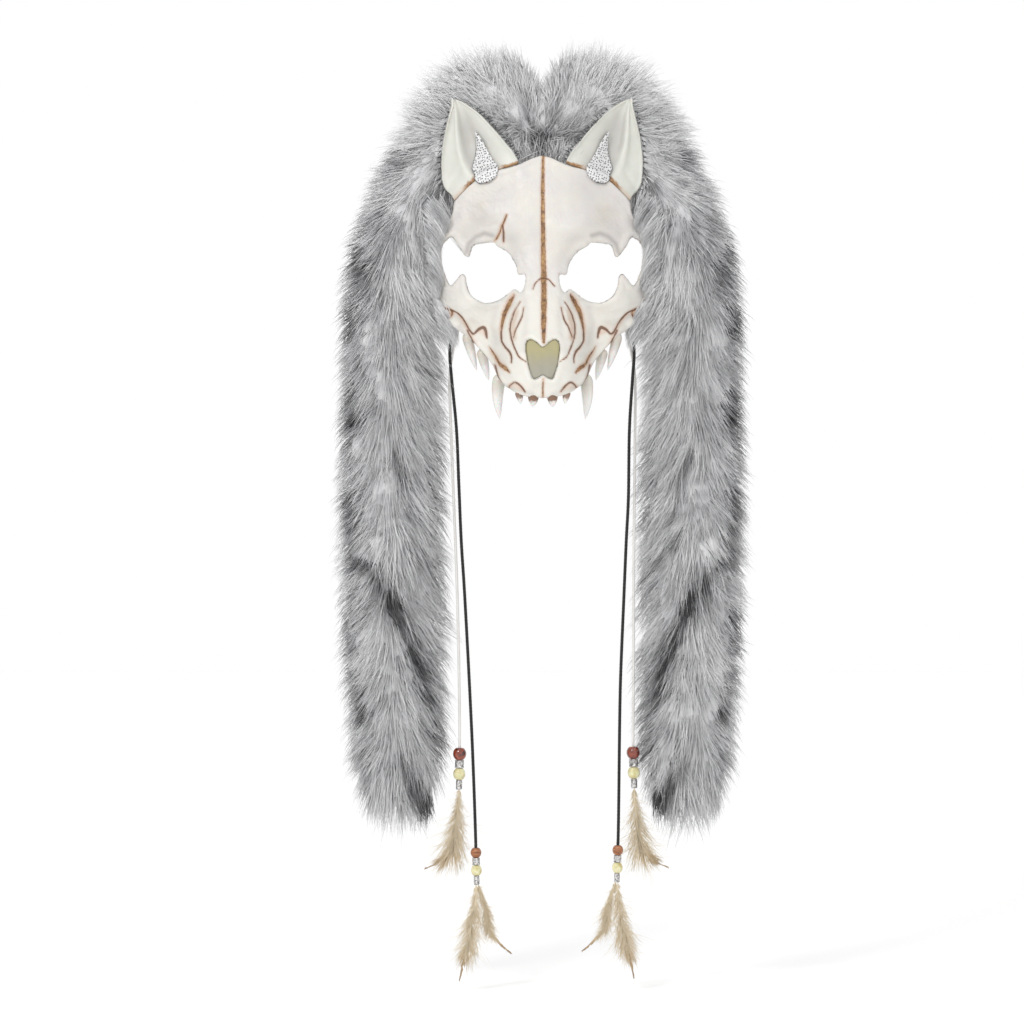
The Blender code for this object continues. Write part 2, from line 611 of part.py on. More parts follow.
def make_fall(word, side, rooms):
    """A flattened tube along the fall's middle line, whose surface stands out in rows of locks."""
    along = np.linspace(0, 1, LOCK_ROWS)
    middle, outward, wide, thick = fall_frame(along)
    turn = 2 * np.pi * np.arange(LOCK_COLUMNS) / LOCK_COLUMNS
    ring = (
        middle[:, None]
        + outward[:, None] * (wide[:, None, None] * np.cos(turn)[None, :, None])
        + np.array([0, -1, 0]) * (thick[:, None, None] * np.sin(turn)[None, :, None])
    )
    sunk = LOCK_DEPTH * (0.6 + 0.4 * np.cos(turn))[None, :, None]
    backing = middle[:, None] + (ring - middle[:, None]) * (1 - sunk)
    ahead = np.roll(ring, -1, axis=0)
    row, column = np.meshgrid(np.arange(LOCK_ROWS), np.arange(LOCK_COLUMNS), indexing="ij")
    is_tip = ((row + column) % 2 == 0) & (row > 0) & (row < LOCK_ROWS - 1)
    points = np.where(is_tip[..., None], ring * (1 - LOCK_OVERLAP) + ahead * LOCK_OVERLAP, backing)
    points[0] = backing[0]
    points[..., 0] *= side
    index = row * LOCK_COLUMNS + column
    beside = np.roll(index, -1, axis=1)
    faces = np.stack([index[:-1], beside[:-1], beside[1:], index[1:]], axis=-1).reshape(-1, 4)
    mesh = bpy.data.meshes.new(f"{word}_fur_fall")
    caps = [index[0].tolist(), index[-1][::-1].tolist()]
    mesh.from_pydata(points.reshape(-1, 3).tolist(), [], faces.tolist() + caps)
    fall = add_object(f"{word}_fur_fall", mesh, parts, fur)
    bm = bmesh.new()
    bm.from_mesh(mesh)
    bmesh.ops.triangulate(bm, faces=[f for f in bm.faces if len(f.verts) == 4])
    bmesh.ops.recalc_face_normals(bm, faces=bm.faces)
    bm.to_mesh(mesh)
    bm.free()
    for neighbour in rooms:
        cut(fall, neighbour)
    applied(fall)
    biggest_body(fall)
    return fall


def smooth_route(points, step):
    """The route as evenly spaced points on a smooth curve through its own points."""
    points = np.array(points)
    ends = np.vstack([2 * points[0] - points[1], points, 2 * points[-1] - points[-2]])
    share = np.linspace(0, 1, 40, endpoint=False)[:, None]
    spans = [
        0.5 * (
            2 * b + (c - a) * share + (2 * a - 5 * b + 4 * c - d) * share**2
            + (3 * b - a - 3 * c + d) * share**3
        )
        for a, b, c, d in zip(ends, ends[1:], ends[2:], ends[3:])
    ]
    fine = np.vstack(spans + [points[-1:]])
    length = np.concatenate([[0], np.cumsum(np.linalg.norm(np.diff(fine, axis=0), axis=1))])
    places = np.linspace(0, length[-1], max(2, round(length[-1] / step)) + 1)
    return np.stack([np.interp(places, length, fine[:, axis]) for axis in range(3)], axis=1)


def make_cord(name, route, diameter, material):
    points = smooth_route(route, CORD_STEP * diameter)
    curve = bpy.data.curves.new(name, "CURVE")
    curve.dimensions = "3D"
    curve.bevel_depth = diameter / 2
    curve.bevel_resolution = 1
    curve.use_fill_caps = True
    spline = curve.splines.new("POLY")
    spline.points.add(len(points) - 1)
    for point, place in zip(spline.points, points):
        point.co = (*place, 1)
    cord = bpy.data.objects.new(name, curve)
    curve.materials.append(material)
    parts.objects.link(cord)
    return points


def turned(name, profile, height, diameter, bore, material):
    """A drilled piece turned round Z, as a closed profile run down its outer side and up its bore."""
    points = [(wide * diameter, 0, up * height) for up, wide in zip(profile["up"], profile["wide"])]
    points += [(bore / 2, 0, -height / 2), (bore / 2, 0, height / 2)]
    mesh = bpy.data.meshes.new(name)
    mesh.from_pydata(points, [(i, (i + 1) % len(points)) for i in range(len(points))], [])
    made = add_object(name, mesh, parts, material)
    screw = made.modifiers.new("turn", "SCREW")
    screw.steps = screw.render_steps = BEAD_SIDES
    screw.use_merge_vertices = True
    screw.merge_threshold = 1e-5
    screw.use_smooth_shade = True
    return made


def thread(word, stack, points, cord):
    """Puts a stack on a cord's end, the crimp last, and returns the middle of the crimp's mouth."""
    low = points[-1].copy()
    up = points[-4] - points[-1]
    up /= np.linalg.norm(up)
    low -= up * 0.5 * stack[-1][2]
    mouth = low.copy()
    turn = up_rotation(up)
    for piece, profile, height, diameter in reversed(stack):
        bore = cord + 2 * GAP
        made = turned(f"{word}_{piece}", profile, height, diameter, bore, finishes[piece])
        made.rotation_euler = turn
        made.location = low + up * height / 2
        low = low + up * (height + GAP)
    return mouth, up


def up_rotation(up):
    """The rotation that turns +Z onto a nearly vertical direction."""
    return (math.atan2(-up[1], up[2]), math.asin(up[0]), 0)


def make_feather(name, profile, length, bow, start, side, offset):
    """A thin vane with notched edges on its quill, which starts inside the crimp."""
    along = np.linspace(0, 1, FEATHER_ROWS)
    x = start[0] + offset + side * read(profile, "side", along) * length
    z = start[2] - read(profile, "drop", along) * length
    notch = np.where(np.arange(FEATHER_ROWS) % 2 == 0, 1.0, VANE_NOTCH)
    half = np.maximum(read(profile, "half", along) * length * notch, QUILL_WIDTH / 2)
    y = start[1] - bow * np.sin(np.pi * along)
    share = np.array([-1.0, 0.0, 1.0])
    points = np.stack(
        [
            x[:, None] + half[:, None] * share,
            y[:, None] + VANE_HOLLOW * half[:, None] * share**2,
            z[:, None] + VANE_SLANT * half[:, None] * np.abs(share),
        ],
        axis=-1,
    )
    vane = thicken(sheet(name, points, parts, down_cream), FEATHER_THICK, 0.0)
    smooth_shade(vane)
    return vane


def make_hanging(word, side, route, cord_size, cord_material, stack, feathers):
    points = make_cord(f"{word}_cord", route, cord_size, cord_material)
    mouth, up = thread(word, stack, points, cord_size)
    start = mouth + up * (0.5 * stack[-1][2] - GAP - FEATHER_THICK)
    spread = (QUILL_WIDTH + GAP) / 2 if len(feathers) > 1 else 0
    for (piece, profile, length, bow), turn in zip(feathers, (1, -1)):
        make_feather(f"{word}_{piece}", profile, length, bow, start, side, side * turn * spread)


for thing in list(bpy.data.objects):
    bpy.data.objects.remove(thing)

parts = bpy.data.collections.new("fox_mask")
cutters = bpy.data.collections.new("cutters")
bpy.context.scene.collection.children.link(parts)
bpy.context.scene.collection.children.link(cutters)

bone = new_material("bone", (0.86, 0.84, 0.78), 0.45)
ivory = new_material("ivory", (0.84, 0.83, 0.76), 0.45)
olive = new_material("olive", (0.42, 0.41, 0.30), 0.6)
silver = new_material("silver", (0.72, 0.72, 0.70), 0.35, 0.7)
fur = new_material("fur", (0.50, 0.50, 0.52), 0.9)
black_cord = new_material("black_cord", (0.02, 0.02, 0.02), 0.7)
pale_cord = new_material("pale_cord", (0.80, 0.78, 0.72), 0.8)
brown = new_material("brown", (0.28, 0.09, 0.04), 0.25)
cream = new_material("cream", (0.72, 0.68, 0.42), 0.3)
down_cream = new_material("feather", (0.72, 0.62, 0.45), 0.8)
finishes = {"brown_bead": brown, "cream_bead": cream, "spacer": silver, "crimp": silver}

make_skull()
make_nose_plate()
skull_room = make_room("skull_room", skull_grid(), WALL, 1.5 * GAP)
skull_front = make_front_room("skull_front", skull_grid(), WALL, 1.5 * GAP)
for side, word in ((-1, "left"), (1, "right")):
    make_ear(word, side, skull_room)
    ear_room = make_room(f"{word}_ear_room", ear_grid(side), EAR_WALL, 3 * GAP)
    make_inlay(word, side, (ear_room, skull_room))
    far_half = make_far_half(f"{word}_far_half", side)
    ear_front = make_front_room(f"{word}_ear_front", ear_grid(side), EAR_WALL, 2 * GAP)
    make_fall(word, side, (ear_front, skull_front, far_half))

make_hanging("left_long", -1, LONG_ROUTE_LEFT, LONG_CORD, black_cord, LONG_STACK, LONG_FEATHERS)
make_hanging("right_long", 1, LONG_ROUTE_RIGHT, LONG_CORD, black_cord, LONG_STACK, LONG_FEATHERS)
make_hanging("left_short", -1, SHORT_ROUTE_LEFT, SHORT_CORD, pale_cord, SHORT_STACK, SHORT_FEATHERS)
make_hanging("right_short", 1, SHORT_ROUTE_RIGHT, SHORT_CORD, pale_cord, SHORT_STACK, SHORT_FEATHERS)
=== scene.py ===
import math

import bpy
import numpy as np
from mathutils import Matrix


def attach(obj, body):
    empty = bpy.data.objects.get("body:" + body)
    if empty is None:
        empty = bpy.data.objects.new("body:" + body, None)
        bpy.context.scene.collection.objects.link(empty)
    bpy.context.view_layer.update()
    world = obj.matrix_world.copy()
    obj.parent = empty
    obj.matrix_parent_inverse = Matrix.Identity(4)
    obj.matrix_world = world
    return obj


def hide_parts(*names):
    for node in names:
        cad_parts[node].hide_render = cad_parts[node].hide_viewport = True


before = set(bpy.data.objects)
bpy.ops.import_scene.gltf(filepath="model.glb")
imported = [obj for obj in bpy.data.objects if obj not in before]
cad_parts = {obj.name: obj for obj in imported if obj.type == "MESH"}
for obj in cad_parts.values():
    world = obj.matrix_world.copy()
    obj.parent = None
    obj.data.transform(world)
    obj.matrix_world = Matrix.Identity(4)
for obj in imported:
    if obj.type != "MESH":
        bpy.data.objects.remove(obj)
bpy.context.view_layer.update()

# The frame: metres, the mask faces -Y, the origin is on the midline at eye level in the rim plane.
print("camera")
view = {
    "middle": (-0.0240, -0.1920),   # what the middle of the picture looks at, across and up
    "distance": 3.0,
    "pictureWidth": 0.8192,         # metres across the picture at the mask
    "sensor": 36.0,
}
cameraData = bpy.data.cameras.new("camera")
cameraData.sensor_width = view["sensor"]
cameraData.lens = view["sensor"] * view["distance"] / view["pictureWidth"]
cameraData.clip_end = 50
camera = bpy.data.objects.new("camera", cameraData)
camera.location = (view["middle"][0], -view["distance"], view["middle"][1])
camera.rotation_euler = (math.radians(90), 0, 0)
bpy.context.scene.collection.objects.link(camera)
bpy.context.scene.camera = camera


# Tools for shapes

def table(columns, *rows):
    # rows of numbers as named columns; the first column is the one that is read along
    return dict(zip(columns.split(), np.array(rows, float).T))


def read(rows, column, at):
    # a column's value at places along the first column, on a smooth cubic through the rows
    places, values = next(iter(rows.values())), rows[column]
    slopes = np.gradient(values, places)
    at = np.clip(at, places[0], places[-1])
    row = np.clip(np.searchsorted(places, at, side="right") - 1, 0, len(places) - 2)
    span = places[row + 1] - places[row]
    t = (at - places[row]) / span
    return (
        values[row] * (1 + 2 * t) * (1 - t) ** 2
        + values[row + 1] * t**2 * (3 - 2 * t)
        + slopes[row] * span * t * (1 - t) ** 2
        - slopes[row + 1] * span * t**2 * (1 - t)
    )


def smoothStep(low, high, value):
    # 0 below low, 1 above high, and 3t^2 - 2t^3 between them
    t = np.clip((value - low) / (high - low), 0, 1)
    return t * t * (3 - 2 * t)


def unit(vectors):
    return vectors / np.maximum(np.linalg.norm(vectors, axis=-1, keepdims=True), 1e-9)


def waves(points, seed, size, count=24):
    # smooth noise between about -1 and 1: a sum of sine waves in random directions, size metres long
    dice = np.random.default_rng(seed)
    direction = unit(dice.normal(size=(count, points.shape[-1])))
    pitch = 2 * np.pi / size * dice.uniform(0.6, 1.5, count)
    phase = dice.uniform(0, 2 * np.pi, count)
    return np.sin(points @ (direction * pitch[:, None]).T + phase).sum(-1) / math.sqrt(count / 2)


def makeMesh(name, points, *faceGroups):
    # a mesh from an array of points and one array of faces for each number of corners
    mesh = bpy.data.meshes.new(name)
    mesh.vertices.add(len(points))
    mesh.vertices.foreach_set("co", np.ascontiguousarray(points, dtype=np.float32).ravel())
    corners = np.concatenate([group.ravel() for group in faceGroups])
    sizes = np.concatenate([np.full(len(group), group.shape[1]) for group in faceGroups])
    mesh.loops.add(len(corners))
    mesh.loops.foreach_set("vertex_index", corners.astype(np.int32))
    mesh.polygons.add(len(sizes))
    mesh.polygons.foreach_set("loop_start", (np.cumsum(sizes) - sizes).astype(np.int32))
    mesh.update(calc_edges=True)
    mesh.validate()
    return mesh


def addPiece(name, shape, finish, tones=None, replaced=None, smooth=True):
    # a piece of the scene on the one body: its points and faces, its finish, its paint's values at each
    # point, and the CAD node that it stands for
    mesh = makeMesh(name, *shape)
    for key, values in (tones or {}).items():
        layer = mesh.attributes.new(key, "FLOAT", "POINT")
        layer.data.foreach_set("value", np.ascontiguousarray(values, dtype=np.float32).ravel())
    piece = bpy.data.objects.new(name, mesh)
    bpy.context.scene.collection.objects.link(piece)
    mesh.materials.append(finish)
    if smooth:
        mesh.shade_smooth()
    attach(piece, "root")
    if replaced:
        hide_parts(replaced)
    return piece


def gridFaces(rows, columns, closeColumns=False, closeRows=False):
    # the quads of a grid of rows x columns points, the last joined to the first where it closes
    index = np.arange(rows * columns).reshape(rows, columns)
    if closeColumns:
        index = np.concatenate([index, index[:, :1]], axis=1)
    if closeRows:
        index = np.concatenate([index, index[:1]], axis=0)
    quads = np.stack([index[:-1, :-1], index[:-1, 1:], index[1:, 1:], index[1:, :-1]], axis=-1)
    return quads.reshape(-1, 4)


def halved(quads):
    # each four-cornered face as two triangles
    return np.concatenate([quads[:, (0, 1, 2)], quads[:, (0, 2, 3)]])


def endFans(rows, columns):
    # triangles that close a tube of rows x columns points with the two points that follow them
    ring, last = np.arange(columns), (rows - 1) * columns
    start = np.stack([np.full(columns, rows * columns), np.roll(ring, -1), ring], axis=-1)
    end = np.stack([np.full(columns, rows * columns + 1), last + ring, last + np.roll(ring, -1)], axis=-1)
    return np.concatenate([start, end])


def joinParts(parts):
    # several (points, faceGroups...) as one, with the faces counted on
    points, groups, start = [], {}, 0
    for part in parts:
        points.append(part[0])
        for group in part[1:]:
            groups.setdefault(group.shape[1], []).append(group + start)
        start += len(part[0])
    return [np.concatenate(points)] + [np.concatenate(group) for group in groups.values()]


def smoothPath(points, count):
    # a Catmull-Rom curve through points, read at count even steps of its length
    points = np.array(points, float)
    ends = np.vstack([2 * points[0] - points[1], points, 2 * points[-1] - points[-2]])
    share = np.linspace(0, 1, 40, endpoint=False)[:, None]
    spans = [
        0.5 * (
            2 * b + (c - a) * share + (2 * a - 5 * b + 4 * c - d) * share**2
            + (3 * b - a - 3 * c + d) * share**3
        )
        for a, b, c, d in zip(ends, ends[1:], ends[2:], ends[3:])
    ]
    fine = np.vstack(spans + [points[-1:]])
    length = np.concatenate([[0], np.cumsum(np.linalg.norm(np.diff(fine, axis=0), axis=1))])
    places = np.linspace(0, length[-1], count)
    return np.stack([np.interp(places, length, fine[:, axis]) for axis in range(3)], axis=1)


def tubeAlong(path, radius, sides, swell=None):
    # a closed tube: a ring of the radius about each point of the path, square to it, with a middle
    # point at each end; swell(share along, turn) multiplies the radius
    along = unit(np.gradient(path, axis=0))
    sideways = unit(np.cross(along, (0.0, 1.0, 0.0)))
    upwards = np.cross(sideways, along)
    turn = 2 * np.pi * np.arange(sides) / sides
    share = np.linspace(0, 1, len(path))
    size = np.broadcast_to(np.asarray(radius, float).reshape(-1, 1), (len(path), sides)).copy()
    if swell:
        size *= swell(share[:, None], turn[None, :])
    rings = path[:, None] + size[..., None] * (
        np.cos(turn)[None, :, None] * sideways[:, None] + np.sin(turn)[None, :, None] * upwards[:, None]
    )
    points = np.concatenate([rings.reshape(-1, 3), path[:1], path[-1:]])
    return points, gridFaces(len(path), sides, closeColumns=True), endFans(len(path), sides)


def strands(root, direction, bend, length, width, shares, flat=1.0):
    # closed tapering three-sided hairs: the middle line is root + length (direction t + bend t^2),
    # the ring's size falls as (1 - t)^0.8 and the last point is the tip
    count = len(root)
    t = np.append(np.array(shares), 1.0)
    line = root[:, None] + length[:, None, None] * (
        direction[:, None] * t[None, :, None] + bend[:, None] * (t**2)[None, :, None]
    )
    along = unit(np.gradient(line, axis=1))
    sideways = unit(np.cross(along, (0.0, 1.0, 0.001)))
    upwards = np.cross(sideways, along)
    size = 0.5 * width[:, None] * (1 - t[None, :-1]) ** 0.8
    turn = 2 * np.pi * np.arange(3) / 3 + np.pi / 2
    rings = line[:, :-1, None] + size[:, :, None, None] * (
        np.cos(turn)[None, None, :, None] * sideways[:, :-1, None]
        + flat * np.sin(turn)[None, None, :, None] * upwards[:, :-1, None]
    )
    each = 3 * len(shares) + 1
    points = np.concatenate([rings.reshape(count, -1, 3), line[:, -1:]], axis=1)
    quads = gridFaces(len(shares), 3, closeColumns=True)
    low = 3 * (len(shares) - 1)
    tips = np.array([
        [low, low + 1, each - 1], [low + 1, low + 2, each - 1], [low + 2, low, each - 1], [2, 1, 0],
    ])
    start = (np.arange(count) * each)[:, None, None]
    return (
        points.reshape(-1, 3),
        (quads[None] + start).reshape(-1, 4),
        (tips[None] + start).reshape(-1, 3),
    )


# Tools for finishes

class Sock:
    # wraps a socket, so that an expression on values adds its Math nodes
    def __init__(self, socket):
        self.socket = socket

    def join(self, operation, *values):
        node = self.socket.id_data.nodes.new("ShaderNodeMath")
        node.operation = operation
        for slot, value in zip(node.inputs, values):
            plug(self.socket.id_data, slot, value)
        return Sock(node.outputs[0])

    def __add__(self, other):
        return self.join("ADD", self, other)

    def __radd__(self, other):
        return self.join("ADD", other, self)

    def __sub__(self, other):
        return self.join("SUBTRACT", self, other)

    def __rsub__(self, other):
        return self.join("SUBTRACT", other, self)

    def __mul__(self, other):
        return self.join("MULTIPLY", self, other)

    def __rmul__(self, other):
        return self.join("MULTIPLY", other, self)

    def between(self, low, high):
        # 0 below low and 1 above high
        node = self.socket.id_data.nodes.new("ShaderNodeMapRange")
        node.interpolation_type = "SMOOTHSTEP"
        for name, value in (("Value", self), ("From Min", low), ("From Max", high)):
            plug(self.socket.id_data, node.inputs[name], value)
        return Sock(node.outputs[0])

    def lower(self, other):
        return self.join("MINIMUM", self, other)

    def higher(self, other):
        return self.join("MAXIMUM", self, other)


def plug(tree, slot, value):
    # links a wrapped socket, or sets a number or colour
    if isinstance(value, Sock):
        tree.links.new(value.socket, slot)
    elif hasattr(slot.default_value, "__len__") and len(value) == 3 and len(slot.default_value) == 4:
        slot.default_value = (*value, 1)
    else:
        slot.default_value = value


class Finish:
    # a material with its Principled shader, to which nodes are added
    def __init__(self, name, **fixed):
        self.material = bpy.data.materials.new(name)
        self.material.use_nodes = True
        self.tree = self.material.node_tree
        self.shader = self.tree.nodes["Principled BSDF"]
        for socket, value in fixed.items():
            self.paint(socket, value)

    def add(self, kind, settings=None, values=None, output=0):
        # any node: its settings first, then its sockets' values or links
        node = self.tree.nodes.new(kind)
        for key, value in (settings or {}).items():
            if key == "stops":
                ramp = node.color_ramp.elements
                while len(ramp) < len(value):
                    ramp.new(0.5)
                for stop, (place, colour) in zip(ramp, value):
                    stop.position = place
                    stop.color = (*colour, 1)
            else:
                setattr(node, key, value)
        for key, value in (values or {}).items():
            plug(self.tree, node.inputs[key], value)
        return Sock(node.outputs[output])

    def place(self):
        return self.add("ShaderNodeTexCoord", output="Object")

    def attribute(self, name):
        return self.add("ShaderNodeAttribute", {"attribute_name": name}, output="Fac")

    def noise(self, scale, detail=3.0, roughness=0.55, at=None):
        values = {"Vector": at or self.place(), "Scale": scale, "Detail": detail, "Roughness": roughness}
        return self.add("ShaderNodeTexNoise", None, values)

    def mix(self, factor, first, second):
        # a colour between two colours: of a Mix node's colour sockets, 6 and 7 are read and 2 is the result
        return self.add("ShaderNodeMix", {"data_type": "RGBA"}, {0: factor, 6: first, 7: second}, 2)

    def ramp(self, value, *stops):
        return self.add("ShaderNodeValToRGB", {"stops": stops}, {"Fac": value})

    def paint(self, socket, value):
        plug(self.tree, self.shader.inputs[socket.replace("_", " ")], value)

    def bump(self, height, distance, strength=1.0):
        self.paint("Normal", self.add("ShaderNodeBump", None, {
            "Height": height, "Distance": distance, "Strength": strength,
        }))

    def stretched(self, *scale):
        # object coordinates stretched along the axes
        return self.add("ShaderNodeMapping", None, {"Vector": self.place(), "Scale": scale})

    def height(self):
        return self.add("ShaderNodeSeparateXYZ", None, {"Vector": self.place()}, "Z")


print("cords")
cordRoutes = {
    "left_long": (
        (-0.0712, -0.0144, -0.0410), (-0.0736, -0.0095, -0.0640), (-0.0722, -0.0080, -0.0850),
        (-0.0683, -0.0080, -0.1260), (-0.0664, -0.0075, -0.1700), (-0.0645, -0.0070, -0.2150),
        (-0.0619, -0.0070, -0.2560), (-0.0584, -0.0065, -0.3210), (-0.0556, -0.0060, -0.3800),
        (-0.0534, -0.0060, -0.4400), (-0.0522, -0.0060, -0.4860),
    ),
    "right_long": (
        (0.0712, -0.0144, -0.0410), (0.0734, -0.0095, -0.0640), (0.0722, -0.0080, -0.0850),
        (0.0697, -0.0080, -0.1260), (0.0689, -0.0075, -0.1800), (0.0672, -0.0070, -0.2150),
        (0.0653, -0.0070, -0.2600), (0.0628, -0.0065, -0.3210), (0.0619, -0.0060, -0.3650),
        (0.0610, -0.0060, -0.4400), (0.0598, -0.0060, -0.4840),
    ),
    "left_short": (
        (-0.0655, -0.0186, -0.0430), (-0.0712, -0.0060, -0.0640), (-0.0738, -0.0030, -0.0860),
        (-0.0730, -0.0020, -0.1200), (-0.0706, -0.0020, -0.1820), (-0.0687, -0.0020, -0.2300),
        (-0.0672, -0.0020, -0.2780), (-0.0662, -0.0020, -0.3300), (-0.0658, -0.0020, -0.3780),
        (-0.0663, -0.0020, -0.4100),
    ),
    "right_short": (
        (0.0655, -0.0186, -0.0430), (0.0712, -0.0060, -0.0640), (0.0742, -0.0030, -0.0860),
        (0.0744, -0.0020, -0.1200), (0.0738, -0.0020, -0.1820), (0.0734, -0.0020, -0.2300),
        (0.0732, -0.0020, -0.2780), (0.0731, -0.0020, -0.3300), (0.0728, -0.0020, -0.3780),
        (0.0736, -0.0020, -0.4090),
    ),
}
cordKinds = {
    "long": {"diameter": 0.0025, "slot": "black_cord"}, "short": {"diameter": 0.0022, "slot": "pale_cord"},
}
cordBuild = {
    "steps": 400, "sides": 10,
    "turns": 240.0,         # of the two plies from end to end
    "plyDepth": 0.07,       # as a share of the radius
    "endSteps": 28,         # so many points at the end give the way that the beads hang
}


def cordFinish(name, dark, light, roughness):
    # a waxed twisted cord: fine bands that run round it at a slant, with dull and shiny stretches
    made = Finish(name)
    place = made.place()
    bands = made.add("ShaderNodeTexWave", {"wave_type": "BANDS", "bands_direction": "DIAGONAL"}, {
        "Vector": place, "Scale": 420.0, "Distortion": 1.2, "Detail": 2.0, "Detail Scale": 2.0,
    })
    wear = made.noise(90.0, 4.0)
    made.paint("Base Color", made.mix(bands * 0.5 + wear * 0.5, dark, light))
    made.paint("Roughness", wear * 0.3 + roughness)
    made.bump(bands, 0.0003, 0.6)
    return made.material


cordFinishes = {
    "long": cordFinish("black waxed cord", (0.0015, 0.0015, 0.0015), (0.011, 0.011, 0.010), 0.5),
    "short": cordFinish("pale waxed cord", (0.60, 0.58, 0.55), (0.93, 0.92, 0.90), 0.5),
}


def twisted(share, turn):
    # the cord's two plies: the radius goes 1 + depth cos(2 turn + turns along)
    return 1 + cordBuild["plyDepth"] * np.cos(2 * turn + 2 * np.pi * cordBuild["turns"] * share)


cordPieces, cordPaths = {}, {}
for word, route in cordRoutes.items():
    kind = cordKinds[word.split("_")[1]]
    path = smoothPath(route, cordBuild["steps"])
    cordPaths[word] = path
    tube = tubeAlong(path, kind["diameter"] / 2, cordBuild["sides"], twisted)
    finish = cordFinishes[word.split("_")[1]]
    cordPieces[word] = addPiece(f"{word}_cord_twist", tube, finish, replaced=f"{word}_cord")


print("beads")


def outward(points, *groups):
    # the faces turned so that the closed shape's signed volume is above 0
    volume = 0.0
    for group in groups:
        a = points[group[:, 0]]
        for corner in range(1, group.shape[1] - 1):
            b, c = points[group[:, corner]], points[group[:, corner + 1]]
            volume += (a * np.cross(b, c)).sum()
    return [points] + [group if volume > 0 else group[:, ::-1] for group in groups]


def turnedRing(profile, bore, low, up, sides, relief=None):
    # a drilled piece: the profile (height, radius) turned round the cord's end, closed down the bore;
    # relief(height share, turn) multiplies the outer radius
    profile = np.array(profile, float)
    height, radius = profile[:, 0], profile[:, 1]
    turn = 2 * np.pi * np.arange(sides) / sides
    size = np.broadcast_to(radius[:, None], (len(radius), sides)).copy()
    if relief:
        share = (height - height[0]) / (height[-1] - height[0])
        size *= relief(share[:, None], turn[None, :])
    size = np.concatenate([size, np.full((2, sides), bore / 2)])
    height = np.concatenate([height, [height[-1], height[0]]])
    sideways = unit(np.cross(up, (0.0, 1.0, 0.0)))
    front = np.cross(sideways, up)
    points = (
        low
        + height[:, None, None] * up
        + size[..., None] * (np.cos(turn)[:, None] * sideways + np.sin(turn)[:, None] * front)
    )
    return outward(points.reshape(-1, 3), gridFaces(len(height), sides, True, True))


def roundProfile(height, diameter, mouth, steps=15):
    # a ball with flattened ends: the radius follows a circle from mouth to mouth
    share = np.linspace(-1, 1, steps)
    reach = math.acos(mouth / (diameter / 2))
    radius = diameter / 2 * np.cos(share * reach)
    return np.stack([(np.sin(share * reach) / math.sin(reach) + 1) * height / 2, radius], axis=1)


def flatProfile(height, diameter, steps, edge=0.06):
    # a straight sleeve whose radius eases off at the ends: 1 - 2 edge |2 share - 1|^8
    share = np.linspace(0, 1, steps)
    radius = diameter / 2 * (1 - edge * (2 * np.abs(share - 0.5)) ** 8 * 2)
    return np.stack([share * height, radius], axis=1)


def filigree(share, turn):
    # openwork: two rims of grains, and between them two crossing sets of scrolls
    rim = smoothStep(0.30, 0.42, np.abs(share - 0.5))
    grains = 0.06 * np.cos(10 * turn) * rim
    scroll = np.abs(np.sin(4 * turn + 5 * share)) * np.abs(np.sin(4 * turn - 5 * share))
    return 0.94 + grains - 0.14 * scroll * (1 - rim)


def coil(share, turn):
    # five turns of round wire
    return 0.94 + 0.07 * np.cos(2 * np.pi * 5 * share - turn)


def lobes(share, turn):
    # a carved wooden bead: eight shallow melon flutes, deepest half way up
    return 1 - 0.030 * (1 - np.abs(np.cos(4 * turn))) * np.sin(np.pi * share)


def plain(share, turn):
    return 1 + 0 * share * turn


# From the top down: piece, slot, height, width and relief
beadStacks = {
    "long": (
        ("brown_bead", "wood_bead", 0.0076, 0.0086, lobes),
        ("spacer", "silver_metal", 0.0056, 0.0066, filigree),
        ("cream_bead", "cream_bead", 0.0082, 0.0088, plain),
        ("crimp", "silver_metal", 0.0072, 0.0050, coil),
    ),
    "short": (
        ("brown_bead", "brown_bead", 0.0096, 0.0108, plain),
        ("spacer", "silver_metal", 0.0062, 0.0078, filigree),
        ("cream_bead", "cream_bead", 0.0090, 0.0100, plain),
        ("crimp", "silver_metal", 0.0076, 0.0054, coil),
    ),
}
beadBuild = {
    "clearance": 0.0003,    # round the cord, and between the pieces
    "mouth": 0.56,          # the flat end of a round bead as a share of its width
    "sides": 48, "coilRings": 31, "sleeveRings": 22,
}


